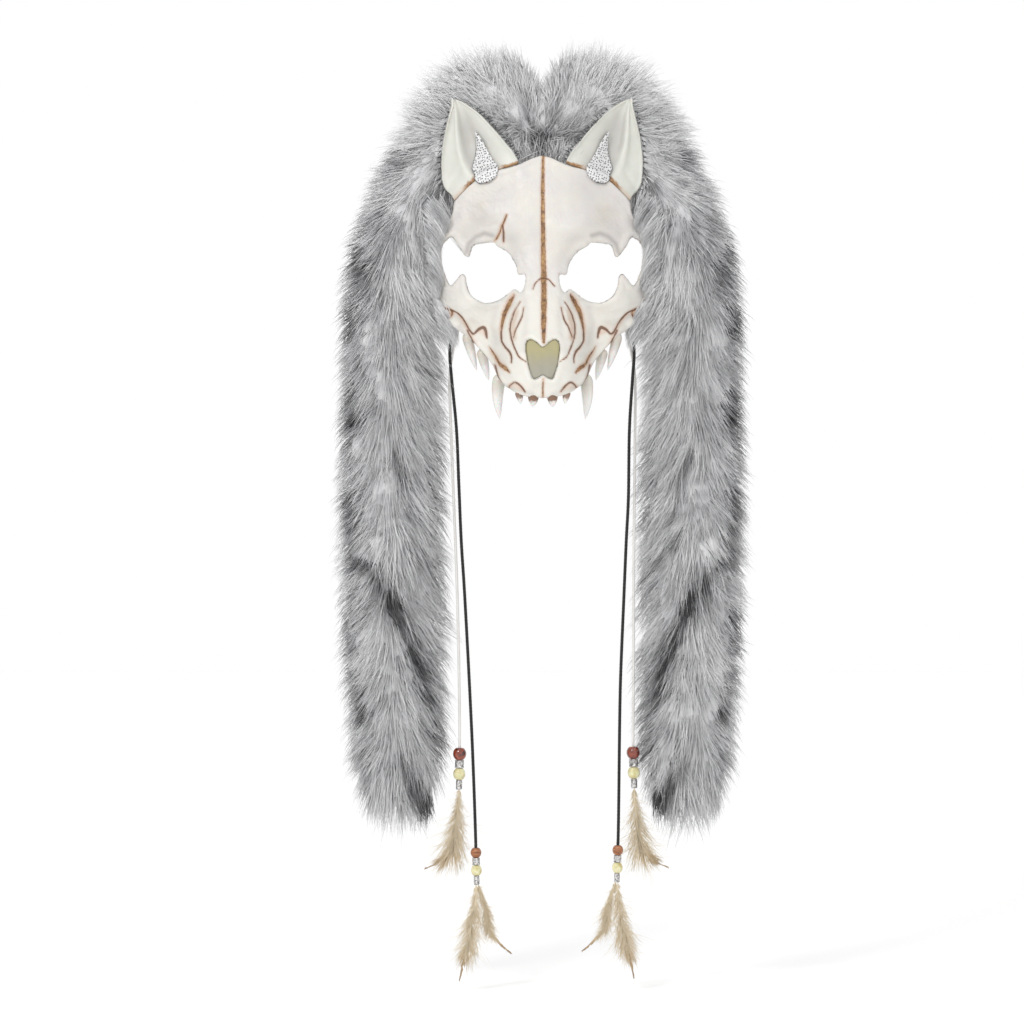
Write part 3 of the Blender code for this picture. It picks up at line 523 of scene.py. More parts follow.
def beadFinishes():
    red = Finish("red brown bead", Roughness=0.08, Coat_Weight=0.9, Coat_Roughness=0.03)
    veins = red.noise(260.0, 4.0, 0.6)
    red.paint("Base Color", red.ramp(
        veins, (0.30, (0.020, 0.004, 0.002)), (0.50, (0.19, 0.022, 0.006)), (0.75, (0.34, 0.060, 0.014)),
    ))
    wood = Finish("turned wood bead", Roughness=0.4, Coat_Weight=0.25, Coat_Roughness=0.2)
    grain = wood.noise(130.0, 5.0, 0.7, wood.stretched(1, 1, 5))
    wood.paint("Base Color", wood.ramp(
        grain, (0.30, (0.080, 0.022, 0.008)), (0.50, (0.33, 0.120, 0.045)), (0.75, (0.52, 0.245, 0.110)),
    ))
    wood.bump(grain, 0.0003, 0.5)
    pearl = Finish("pearly cream bead", Roughness=0.16, Coat_Weight=0.8, Coat_Roughness=0.05,
                   Subsurface_Weight=0.2, Subsurface_Scale=0.004)
    clouds = pearl.noise(200.0, 3.0, 0.5)
    pearl.paint("Base Color", pearl.ramp(
        clouds, (0.30, (0.50, 0.43, 0.17)), (0.55, (0.70, 0.66, 0.38)), (0.80, (0.84, 0.82, 0.62)),
    ))
    silver = Finish("antique silver", Metallic=1.0)
    tarnish = silver.noise(700.0, 4.0, 0.6)
    silver.paint("Base Color", silver.ramp(
        tarnish, (0.34, (0.10, 0.10, 0.10)), (0.50, (0.52, 0.51, 0.50)), (0.70, (0.86, 0.85, 0.84)),
    ))
    silver.paint("Roughness", 0.5 - tarnish * 0.3)
    silver.bump(tarnish, 0.0002, 0.7)
    return {
        "brown_bead": red.material, "wood_bead": wood.material, "cream_bead": pearl.material,
        "silver_metal": silver.material,
    }


beadPaints = beadFinishes()
crimpMouths = {}
for word, path in cordPaths.items():
    b, kind = beadBuild, word.split("_")[1]
    diameter = cordKinds[kind]["diameter"]
    up = unit(path[-cordBuild["endSteps"]] - path[-1])
    low = path[-1] - up * 0.5 * beadStacks[kind][-1][2]
    crimpMouths[word] = (low, up)
    for piece, slot, height, width, relief in reversed(beadStacks[kind]):
        if relief in (plain, lobes):
            profile = roundProfile(height, width, b["mouth"] * width / 2)
        else:
            profile = flatProfile(height, width, b["coilRings"] if relief is coil else b["sleeveRings"])
        shape = turnedRing(profile, diameter + 2 * b["clearance"], low, up, b["sides"], relief)
        name = f"{word}_{piece}"
        addPiece(f"{name}_turned", shape, beadPaints[slot], replaced=name)
        low = low + up * (height + b["clearance"])


print("feathers")
plume = {
    "barbs": 380, "down": 360, "quillSteps": 40, "quillSides": 6,
    "quill": 0.00045,                   # radius at the root
    "barbWidth": (0.00045, 0.00080), "downWidth": (0.00024, 0.00042),
    "downShare": 0.72,                  # of the length, from the root, that carries down
    "seat": 0.0013,                     # from the crimp's middle to the quill's root
    "pairSpread": 0.00065,              # sideways between two quills in one crimp, halved
}
# Piece, length, bow to the front, and its line and half width as shares of the length
feathers = {
    "short": (
        ("feather", 0.066, -0.003, table(
            "along side drop half",
            (0.00, 0.000, 0.000, 0.010), (0.14, 0.005, 0.160, 0.075), (0.28, 0.020, 0.320, 0.165),
            (0.45, 0.045, 0.520, 0.245), (0.60, 0.070, 0.700, 0.290), (0.72, 0.110, 0.820, 0.220),
            (0.84, 0.240, 0.920, 0.030), (1.00, 0.420, 1.000, 0.003),
        )),
    ),
    "long": (
        ("feather", 0.079, 0.004, table(
            "along side drop half",
            (0.00, 0.000, 0.000, 0.006), (0.10, 0.000, 0.100, 0.045), (0.23, 0.005, 0.230, 0.110),
            (0.40, 0.033, 0.400, 0.165), (0.54, 0.060, 0.540, 0.165), (0.67, 0.090, 0.670, 0.120),
            (0.77, 0.115, 0.770, 0.040), (0.87, 0.138, 0.870, 0.010), (1.00, 0.166, 1.000, 0.003),
        )),
        ("curl_feather", 0.060, -0.004, table(
            "along side drop half",
            (0.00, 0.000, 0.000, 0.010), (0.20, -0.055, 0.210, 0.060), (0.36, -0.110, 0.400, 0.115),
            (0.52, -0.135, 0.560, 0.105), (0.64, -0.177, 0.690, 0.045), (0.80, -0.310, 0.840, 0.012),
            (1.00, -0.450, 0.955, 0.003),
        )),
    ),
}


def featherShape(start, side, offset, length, bow, rows, seed):
    # a quill along the table's line, barbs that leave it at a slant on both sides and in front, shorter
    # towards the tip, and loose down on its upper half; tone is 0 on down and 1 on the firm tip
    p, dice = plume, np.random.default_rng(seed)
    barbs, fluff, steps = p["barbs"], p["down"], p["quillSteps"]
    step = 0.01     # along the quill, to find the way that it runs

    def line(at):
        x = start[0] + offset + side * read(rows, "side", at) * length
        y = start[1] - bow * np.sin(np.pi * at)
        return np.stack([x, y, start[2] - read(rows, "drop", at) * length], axis=-1)

    even = np.linspace(0, 1, steps)
    quill = tubeAlong(line(even), p["quill"] * (1 - 0.85 * even), p["quillSides"])
    at = np.sort(dice.uniform(0.04, 0.99, barbs))
    hand = dice.choice((-1.0, 1.0), barbs)
    root = line(at)
    ahead = unit(line(np.minimum(at + step, 1)) - line(np.maximum(at - step, 0)))
    across = unit(np.cross(ahead, (0.0, 1.0, 0.0)))
    spread = read(rows, "half", at) * length
    slant = 0.85 - 0.35 * at + dice.normal(0, 0.12, barbs)
    reach = spread / np.maximum(np.sin(slant), 0.2) * dice.uniform(0.40, 1.0, barbs) + 0.0012
    reach = np.minimum(reach, (1.0 - at) * 0.85 * length + 0.001)
    direction = unit(
        ahead * np.cos(slant)[:, None] + across * (hand * np.sin(slant))[:, None]
        + np.array([0.0, 1.0, 0.0]) * dice.normal(0, 0.16, barbs)[:, None]
    )
    bend = ahead * dice.uniform(0.05, 0.30, barbs)[:, None] + across * (hand * -0.12)[:, None]
    firm = strands(root, direction, bend, reach, dice.uniform(*p["barbWidth"], barbs), (0, 0.3, 0.6), 0.4)
    downAt = dice.uniform(0.03, 1.0, fluff) ** 0.8 * p["downShare"]
    downAhead = unit(line(np.minimum(downAt + step, 1)) - line(np.maximum(downAt - step, 0)))
    loose = dice.normal(0, 1, (fluff, 3)) * (1.0, 0.45, 0.5)
    downReach = read(rows, "half", downAt) * length * dice.uniform(0.7, 1.35, fluff) + 0.0035
    down = strands(
        line(downAt), unit(downAhead * 0.8 + loose * 0.75), dice.normal(0, 0.35, (fluff, 3)) + (0, 0, -0.25),
        downReach, dice.uniform(*p["downWidth"], fluff), (0, 0.3, 0.65), 0.6,
    )
    tones = np.concatenate([
        np.repeat(even * 0.4, p["quillSides"]), (0, 0.4),
        np.repeat(smoothStep(0.50, 0.95, at) * 0.7 + dice.uniform(0, 0.26, barbs), len(firm[0]) // barbs),
        np.repeat(dice.uniform(0, 0.12, fluff), len(down[0]) // fluff),
    ])
    return joinParts([outward(*quill), outward(*firm), outward(*down)]), {"tone": tones}


def featherFinish():
    # pale down that turns brown towards the firm tip, mottled
    made = Finish("feather", Roughness=0.75, Sheen_Weight=0.2)
    tone, mottle = made.attribute("tone"), made.noise(320.0, 3.0)
    made.paint("Base Color", made.ramp(
        tone + (mottle - 0.5) * 0.35, (0.05, (0.82, 0.71, 0.52)), (0.35, (0.73, 0.57, 0.36)),
        (0.65, (0.57, 0.40, 0.21)), (0.95, (0.27, 0.14, 0.06)),
    ))
    made.bump(made.noise(900.0), 0.0002, 0.4)
    return made.material


featherPaint = featherFinish()
for number, word in enumerate(cordPaths):
    kind = word.split("_")[1]
    side = -1 if word.startswith("left") else 1
    mouth, up = crimpMouths[word]
    start = mouth + up * (0.5 * beadStacks[kind][-1][2] - plume["seat"])
    spread = plume["pairSpread"] * (len(feathers[kind]) - 1)
    for turn, (piece, length, bow, rows) in zip((1, -1), feathers[kind]):
        seed = 20 + number * 2 + turn
        shape, tones = featherShape(start, side, side * turn * spread, length, bow, rows, seed)
        name = f"{word}_{piece}"
        addPiece(f"{name}_barbs", shape, featherPaint, tones, name)


print("skull")
skull = {
    "rimWidth": 0.170, "crownHeight": 0.092, "gumDrop": 0.104, "templeHeight": 0.055, "cheekDrop": 0.036,
    "faceDepth": 0.034, "headWidth": 0.178, "crownSetBack": 0.013, "snoutLength": 0.054,
    "cheekbone": 0.007, "brow": 0.005, "wall": 0.0025,
    "columns": 191, "rows": 172,
    "edgeRound": 0.0013,    # how far in from an edge the wall has its full thickness
    "lip": (0.8, 3.2, 2.4),     # the edges' swelling: rise, middle and half width in millimetres
    "cellHeight": 0.19,     # over the rows: how high a cell of the grid is at most
    "snap": 0.52,           # of a cell: points this near to an opening's outline are drawn onto it
    "nearHole": 0.02,       # further from an opening than this, nothing of it is worked out
    "clear": 9.0,           # millimetres: a point this far from every line has no paint from them
}
skullEdges = table(
    "across upper lower",
    (0.00, 1.00, 1.00), (0.12, 0.93, 0.99), (0.24, 0.82, 0.945), (0.36, 0.74, 0.84),
    (0.47, 0.69, 0.62), (0.58, 0.62, 0.43), (0.70, 0.52, 0.28), (0.80, 0.38, 0.19),
    (0.90, 0.20, 0.10), (1.00, 0.00, 0.00),
)
skullSide = table(
    "down width",
    (0.00, 0.830), (0.12, 0.856), (0.25, 0.940), (0.37, 1.000), (0.65, 1.000), (0.90, 0.990), (1.00, 0.975),
)
snoutShape = table(
    "down rise width",
    (-0.40, 0.00, 0.090), (-0.20, 0.03, 0.095), (0.00, 0.14, 0.110), (0.25, 0.38, 0.150),
    (0.50, 0.66, 0.195), (0.70, 0.88, 0.215), (0.85, 1.00, 0.222), (1.00, 0.94, 0.222),
)
openings = {
    "eyeSpacing": 0.09605, "eyeWidth": 0.06562, "eyeHeight": 0.0528,
    "noseWidth": 0.0264, "noseHeight": 0.0312, "noseDrop": 0.0728,
    "eye": (
        (-0.390, 0.500), (-0.470, 0.420), (-0.500, 0.303), (-0.494, 0.136), (-0.463, -0.030),
        (-0.390, -0.220), (-0.317, -0.136), (-0.256, -0.060), (-0.207, -0.090), (-0.183, -0.227),
        (-0.134, -0.364), (-0.049, -0.455), (0.049, -0.500), (0.171, -0.470), (0.268, -0.394),
        (0.378, -0.288), (0.451, -0.348), (0.500, -0.273), (0.518, -0.090), (0.427, -0.076),
        (0.402, 0.076), (0.317, 0.242), (0.195, 0.333), (0.134, 0.394), (-0.049, 0.379),
        (-0.110, 0.348), (-0.146, 0.227), (-0.171, 0.197), (-0.207, 0.220), (-0.293, 0.364), (-0.341, 0.470),
    ),
    "nose": (
        (0.000, 0.300), (0.170, 0.410), (0.330, 0.500), (0.450, 0.470), (0.500, 0.300),
        (0.455, -0.060), (0.370, -0.330), (0.290, -0.500), (0.150, -0.485), (0.000, -0.420),
    ),
}
# Carved and stained lines in millimetres across and up, each point with the line's half width;
# "both" lines are on each side, the depth is how far they are cut in
carvedLines = {
    "crown seam": {"both": False, "gold": True, "depth": 0.9, "points": (
        (0.8, 91.2, 1.0), (0.4, 57.6, 1.3), (0.8, 17.6, 1.7), (1.2, -14.4, 2.0), (0.8, -46.4, 1.7),
        (0.8, -60.0, 0.7))},
    "bridge arc": {"both": False, "gold": False, "depth": 0.4, "points": (
        (-7.6, -16.8, 0.15), (-5.6, -12.0, 0.3), (-2.4, -8.8, 0.35), (0.8, -7.6, 0.4), (4.8, -8.8, 0.35),
        (7.2, -11.2, 0.3), (9.6, -14.4, 0.15))},
    "brow crack": {"both": False, "gold": True, "depth": 0.7, "points": (
        (-28.2, 43.2, 0.3), (-30.0, 38.4, 0.6), (-32.0, 33.6, 0.7), (-34.0, 28.0, 0.7), (-37.2, 22.8, 0.4))},
    "brow branch": {"both": False, "gold": False, "depth": 0.4, "points": (
        (-31.5, 35.2, 0.4), (-30.7, 28.8, 0.5), (-30.7, 21.6, 0.4))},
    "snout outer": {"both": True, "gold": True, "depth": 0.9, "points": (
        (22.4, -20.8, 0.6), (26.0, -25.6, 1.3), (29.2, -32.0, 1.4), (31.2, -38.4, 1.1), (32.8, -47.2, 0.6))},
    "snout outer tail": {"both": True, "gold": False, "depth": 0.7, "points": (
        (32.4, -44.2, 0.3), (32.8, -55.2, 0.45), (30.4, -61.6, 0.5), (26.4, -66.4, 0.5), (24.8, -71.2, 0.4),
        (24.8, -75.2, 0.2))},
    "snout inner": {"both": True, "gold": False, "depth": 0.6, "points": (
        (17.6, -26.4, 0.1), (22.4, -32.8, 0.25), (25.2, -40.0, 0.3), (26.0, -47.2, 0.3), (24.8, -56.0, 0.3),
        (21.6, -64.8, 0.3), (18.4, -71.2, 0.25), (12.8, -75.2, 0.1))},
    "snout third": {"both": True, "gold": False, "depth": 0.5, "points": (
        (14.8, -31.2, 0.1), (16.8, -40.0, 0.3), (20.4, -48.0, 0.35), (23.2, -55.2, 0.2))},
    "cheek curl": {"both": True, "gold": True, "depth": 0.6, "points": (
        (76.0, -36.8, 0.3), (72.5, -36.4, 0.5), (71.6, -32.4, 0.6), (76.0, -30.4, 0.6), (80.0, -31.2, 0.5),
        (81.6, -33.6, 0.3))},
    "cheek line": {"both": True, "gold": False, "depth": 0.8, "points": (
        (72.0, -31.6, 0.35), (67.2, -34.4, 0.35), (63.2, -39.2, 0.35), (60.8, -44.0, 0.3), (57.6, -48.8, 0.3),
        (54.4, -50.8, 0.5), (50.4, -47.2, 0.75), (46.4, -46.0, 0.85), (44.8, -49.6, 0.6),
        (44.0, -54.4, 0.3))},
    "canine crack": {"both": True, "gold": True, "depth": 0.8, "points": (
        (42.4, -61.6, 0.2), (38.4, -68.8, 0.6), (34.4, -75.2, 0.9), (29.6, -79.2, 1.2), (26.2, -83.0, 0.5))},
    "canine edge": {"both": True, "gold": False, "depth": 0.5, "points": (
        (37.6, -76.0, 0.2), (34.4, -83.2, 0.35), (31.2, -91.2, 0.35), (28.8, -96.6, 0.2))},
    "gum arc": {"both": True, "gold": False, "depth": 0.6, "points": (
        (26.4, -97.0, 0.2), (24.8, -92.8, 0.4), (21.6, -91.2, 0.45), (17.6, -93.6, 0.4),
        (13.6, -98.6, 0.25))},
    "suture": {"both": False, "gold": True, "depth": 0.5, "points": (
        (0.4, -88.8, 0.35), (0.0, -96.0, 0.5), (0.0, -102.4, 0.5))},
    "molar line": {"both": True, "gold": False, "depth": 0.5, "points": (
        (60.0, -47.8, 0.15), (56.0, -54.2, 0.3), (52.8, -60.4, 0.3), (47.2, -68.4, 0.15))},
}
# Soft painted shadows on both sides: points across and up in millimetres, half width, strength
softShadows = (
    (((59.7, 14.4), (57.9, 20.8), (52.6, 25.9), (45.4, 28.6), (39.0, 26.8)), 2.0, 0.60),
    (((60.0, 30.0), (50.0, 36.0), (38.0, 34.0), (24.0, 24.0), (18.0, 8.0)), 7.0, 0.20),
    (((34.0, 64.0), (46.0, 50.0)), 15.0, 0.20),
    (((57.0, -14.0), (46.0, -26.0), (30.0, -24.0)), 3.0, 0.16),
    (((36.0, -30.0), (40.0, -44.0), (36.0, -58.0)), 3.0, 0.20),
    (((15.0, -14.0), (13.0, -40.0), (15.0, -66.0)), 2.6, 0.16),
    (((72.0, -34.0), (66.0, -38.0), (60.0, -46.0), (56.0, -52.0)), 2.0, 0.28),
    (((66.0, -45.0), (60.0, -52.0), (52.0, -63.0), (46.0, -70.0)), 2.0, 0.30),
    (((38.0, -76.0), (33.0, -90.0), (27.0, -97.0)), 2.0, 0.30),
    (((26.0, -94.0), (18.0, -97.0), (8.0, -100.0)), 1.8, 0.25),
    (((80.0, -20.0), (83.0, -30.0)), 3.0, 0.20),
)
# Soft tan washes on both sides, given in the same way
tanWashes = (
    (((21.0, -34.0), (23.5, -46.0), (22.0, -56.0)), 2.2, 0.50),
    (((77.5, -33.5), (74.5, -34.0)), 2.8, 0.55),
    (((50.0, -48.5), (46.0, -50.0)), 2.2, 0.45),
    (((40.0, -66.0), (30.0, -78.0)), 2.6, 0.32),
    (((24.0, -93.5), (17.0, -95.0)), 2.2, 0.35),
    (((24.0, -22.0), (31.0, -36.0), (33.0, -50.0)), 2.4, 0.26),
    (((66.0, -36.0), (58.0, -48.0), (52.0, -58.0)), 1.8, 0.25),
    (((-2.0, 60.0), (0.0, 20.0), (0.0, -50.0)), 2.6, 0.16),
)
# Soft swellings and hollows: across, up, half width, half height, rise, all in millimetres
skullRelief = (
    (34, 30, 22, 7, 1.2), (70, 8, 7, 12, 1.0), (60, -26, 16, 7, 2.2), (58, -44, 12, 6, -1.6),
    (24, -36, 5, 12, -1.0), (20, -52, 3, 12, 0.8), (33, -88, 4, 12, 1.6), (10, -94, 4, 7, 1.0),
    (20, -96, 4, 6, 0.8), (40, -70, 8, 8, -1.0), (12, 60, 22, 22, 0.8), (52, 44, 14, 12, -1.4),
    (0, -30, 6, 30, 0.7), (28, -12, 6, 9, -0.9), (62, -6, 6, 5, -0.8), (50, -56, 6, 8, 1.0),
)


def skullDepth(x, z):
    # in front of the rim plane: the wrap of a head, (1 - a^2.2)^0.7 across, less a rounding of the crown,
    # plus the muzzle, exp(-(x / width)^4) with a rise that grows downwards, plus cheekbone and brow
    s = skull
    across = np.clip(np.abs(x) / (s["headWidth"] / 2), 0, 0.999)
    wrap = s["faceDepth"] * (1 - across**2.2) ** 0.7
    rise = np.clip(z / s["crownHeight"] - 0.2, 0, None) / 0.8
    down = -z / s["gumDrop"]
    width = read(snoutShape, "width", down) * s["rimWidth"]
    snout = s["snoutLength"] * read(snoutShape, "rise", down) * np.exp(-np.abs(x / width) ** 4)

    def hill(spread, height, wide, tall):
        aside = (np.abs(x) - spread) / (wide * s["rimWidth"])
        return np.exp(-(aside**2) - ((z - height) / (tall * s["rimWidth"])) ** 2)

    cheek = s["cheekbone"] * hill(0.35 * s["rimWidth"], -0.24 * s["gumDrop"], 0.10, 0.13)
    brow = s["brow"] * hill(0.22 * s["rimWidth"], 0.34 * s["crownHeight"], 0.15, 0.07)
    return wrap - s["crownSetBack"] * rise**2 + snout + cheek + brow


def skullPoint(across, down):
    # across from -1 to 1 and down from 0 to 1 between the shell's upper and lower edges
    s = skull
    x = across * s["rimWidth"] / 2 * read(skullSide, "width", down)
    side = np.abs(across)
    top = s["templeHeight"] + (s["crownHeight"] - s["templeHeight"]) * read(skullEdges, "upper", side)
    low = -s["cheekDrop"] - (s["gumDrop"] - s["cheekDrop"]) * read(skullEdges, "lower", side)
    z = top + down * (low - top)
    return np.stack([x, -skullDepth(x, z), z], axis=-1)


def closedCurve(points, steps=6):
    # a Catmull-Rom curve round a closed outline
    p = np.array(points, float)
    a, b, c, d = np.roll(p, 1, 0), p, np.roll(p, -1, 0), np.roll(p, -2, 0)
    t = np.linspace(0, 1, steps, endpoint=False)[:, None, None]
    curve = 0.5 * (2 * b + (c - a) * t + (2 * a - 5 * b + 4 * c - d) * t**2 + (3 * b - a - 3 * c + d) * t**3)
    return curve.transpose(1, 0, 2).reshape(-1, 2)


def toSegments(flat, line, closed=False):
    # for each flat point: its distance to the nearest segment, that segment, and the place along it
    start, end = (line, np.roll(line, -1, 0)) if closed else (line[:-1], line[1:])
    step = end - start
    share = ((flat[:, None] - start) * step).sum(-1) / np.maximum((step**2).sum(-1), 1e-12)
    share = np.clip(share, 0, 1)
    distance = np.linalg.norm(flat[:, None] - start - share[..., None] * step, axis=-1)
    nearest = distance.argmin(1)
    rows = np.arange(len(flat))
    return distance[rows, nearest], nearest, share[rows, nearest]


def outlineDistance(flat, outline):
    # signed distance in the picture plane: above 0 outside the outline; and the nearest point on it
    distance, nearest, share = toSegments(flat, outline, True)
    following = np.roll(outline, -1, 0)
    on = outline[nearest] + share[:, None] * (following[nearest] - outline[nearest])
    x, z = flat[:, :1], flat[:, 1:]
    a, b = outline, following
    crosses = ((a[:, 1] > z) != (b[:, 1] > z)) & (
        x < (b[:, 0] - a[:, 0]) * (z - a[:, 1]) / (b[:, 1] - a[:, 1] + 1e-15) + a[:, 0]
    )
    inside = crosses.sum(1) % 2 == 1
    return np.where(inside, -distance, distance), on


def holeOutlines():
    # the left eye's, the right eye's and the nose's outline, from the shares in the dictionary
    o = openings
    eye = np.array(o["eye"])
    away, up = o["eyeSpacing"] / 2 - eye[:, 0] * o["eyeWidth"], eye[:, 1] * o["eyeHeight"]
    eyes = [np.stack([side * away, up], axis=1) for side in (-1, 1)]
    half = np.array(o["nose"]) * (o["noseWidth"], o["noseHeight"])
    nose = np.concatenate([half, half[-2:0:-1] * (-1, 1)]) - (0, o["noseDrop"])
    return [closedCurve(outline) for outline in eyes + [nose]]


def carved(flat):
    # how deep the carved lines are, and how far each point lies outside the gold and the dark lines, in mm
    millimetres = flat * 1000
    depth = np.zeros(len(flat))
    gold, dark = np.full(len(flat), skull["clear"]), np.full(len(flat), skull["clear"])
    for line in carvedLines.values():
        points = smoothPath(np.array(line["points"]), 8 * len(line["points"]))
        for side in ((1, -1) if line["both"] else (1,)):
            run = points[:, :2] * (side, 1)
            near = (np.abs(millimetres - run.mean(0)) < np.ptp(run, axis=0) / 2 + 6).all(1)
            if not near.any():
                continue
            distance, nearest, share = toSegments(millimetres[near], run)
            half = points[nearest, 2] * (1 - share) + points[nearest + 1, 2] * share
            cut = line["depth"] * np.exp(-((distance / (half + 0.55)) ** 2))
            depth[near] = np.maximum(depth[near], cut)
            layer = gold if line["gold"] else dark
            layer[near] = np.minimum(layer[near], distance - half)
    return depth, gold, dark


def reliefHeight(flat):
    # the swellings together, in mm: each one rise exp(-(aside / width)^2 - (above / height)^2)
    x, z = np.abs(flat[:, 0]) * 1000, flat[:, 1] * 1000
    height = np.zeros(len(flat))
    for across, up, wide, tall, rise in skullRelief:
        height += rise * np.exp(-(((x - across) / wide) ** 2) - ((z - up) / tall) ** 2)
    return height


def washAt(flat, washes):
    # how strong the soft washes are together: one less the product of 1 - strength exp(-(distance / half)^2)
    millimetres = np.abs(flat * (1000, 0)) + flat * (0, 1000)
    shade = np.zeros(len(flat))
    for points, half, strength in washes:
        distance = toSegments(millimetres, np.array(points, float))[0]
        shade = 1 - (1 - shade) * (1 - strength * np.exp(-((distance / half) ** 2)))
    return shade


def gridNormals(points):
    # unit normals of a grid of points, pointing to the front
    normal = unit(np.cross(np.gradient(points, axis=1), np.gradient(points, axis=0)))
    return normal * -np.sign(normal[..., 1:2].sum())


def edgeRoom(points):
    # the distance of each grid point to the grid's nearest side, along the rows and columns
    across = np.linalg.norm(np.diff(points, axis=1), axis=-1)
    down = np.linalg.norm(np.diff(points, axis=0), axis=-1)
    left = np.pad(np.cumsum(across, axis=1), ((0, 0), (1, 0)))
    above = np.pad(np.cumsum(down, axis=0), ((1, 0), (0, 0)))
    return np.minimum(np.minimum(left, left[:, -1:] - left), np.minimum(above, above[-1:] - above))


def roundedShell(front, normal, room, triangles, wall, edgeRound):
    # front and back skins that meet in a rounded edge: half the wall times sqrt(1 - (1 - d / round)^2)
    # on each side of the middle, for a point d from the edge
    share = np.clip(room / edgeRound, 0, 1)
    half = wall / 2 * np.sqrt(1 - (1 - share) ** 2)
    middle = front - normal * wall / 2
    outer, inner = middle + normal * half[:, None], middle - normal * half[:, None]
    count = len(front)
    index = np.arange(count)
    back = np.where(share <= 0, index, index + count)
    faces = np.concatenate([triangles, back[triangles][:, ::-1]])
    points = np.concatenate([outer, inner])
    used = np.unique(faces)
    renumber = np.zeros(len(points), int)
    renumber[used] = np.arange(len(used))
    points, faces = outward(points[used], renumber[faces])
    return points, faces, used % count, used >= count


def skullShape():
    # a grid over the shell whose points near an opening's outline are drawn onto it, with the squares
    # inside the openings left out; the surface stands forward by the relief, the edges' lip
    # rise exp(-((d - middle) / width)^2) and fine wear, less the carved lines
    s = skull
    across = np.linspace(-1, 1, s["columns"])
    down = np.linspace(0, 1, s["rows"])
    points = skullPoint(*np.meshgrid(across, down))
    room = edgeRoom(points).ravel()
    flat = points[..., (0, 2)].reshape(-1, 2).copy()
    cell = max(s["rimWidth"] / s["columns"], s["cellHeight"] / s["rows"])
    inside = np.zeros(len(flat), bool)
    for outline in holeOutlines():
        near = ((flat > outline.min(0) - s["nearHole"]) & (flat < outline.max(0) + s["nearHole"])).all(1)
        distance, on = outlineDistance(flat[near], outline)
        snap = np.abs(distance) < cell * s["snap"]
        place = flat[near]
        place[snap] = on[snap]
        flat[near] = place
        distance[snap] = 0
        room[near] = np.minimum(room[near], np.maximum(distance, 0))
        inside[near] |= distance < 0
    a, b, c, d = gridFaces(s["rows"], s["columns"]).T
    other = inside[a] | inside[c]
    first = np.where(other[:, None], np.stack([a, b, d], 1), np.stack([a, b, c], 1))
    second = np.where(other[:, None], np.stack([b, c, d], 1), np.stack([a, c, d], 1))
    triangles = np.concatenate([first, second])
    triangles = triangles[~inside[triangles].any(1)]
    solid = np.zeros(len(flat), bool)
    solid[triangles] = True
    depth, gold, dark = carved(flat)
    rise, middle, width = s["lip"]
    lip = rise * np.exp(-(((room * 1000 - middle) / width) ** 2))
    wear = 0.10 * waves(flat, 5, 0.011) + 0.05 * waves(flat, 6, 0.004)
    height = (reliefHeight(flat) + lip + wear - depth) / 1000
    surface = np.stack([flat[:, 0], -skullDepth(flat[:, 0], flat[:, 1]), flat[:, 1]], axis=1)
    grid = surface.reshape(s["rows"], s["columns"], 3)
    normal = gridNormals(grid).reshape(-1, 3)
    surface = surface + normal * height[:, None]
    normal = gridNormals(surface.reshape(grid.shape)).reshape(-1, 3)
    room = np.where(solid, room, 0)
    wall, edgeRound = s["wall"], s["edgeRound"]
    points, faces, source, innerSkin = roundedShell(surface, normal, room, triangles, wall, edgeRound)
    toNose = np.abs(toSegments(flat, holeOutlines()[2], True)[0]) * 1000
    # each paint value on the outer skin, and on the skin towards the face, which has no lines, washes,
    # painted shadows or painted shade in its hollows
    tones = {
        "gold": (gold, s["clear"]), "dark": (dark, s["clear"]), "low": (height * 1000, 0),
        "shade": (washAt(flat, softShadows), 0), "tan": (washAt(flat, tanWashes), 0),
        "nose": (toNose, s["clear"]),
    }
    return (points, faces), {
        key: np.where(innerSkin, inner, outer[source]) for key, (outer, inner) in tones.items()
    }


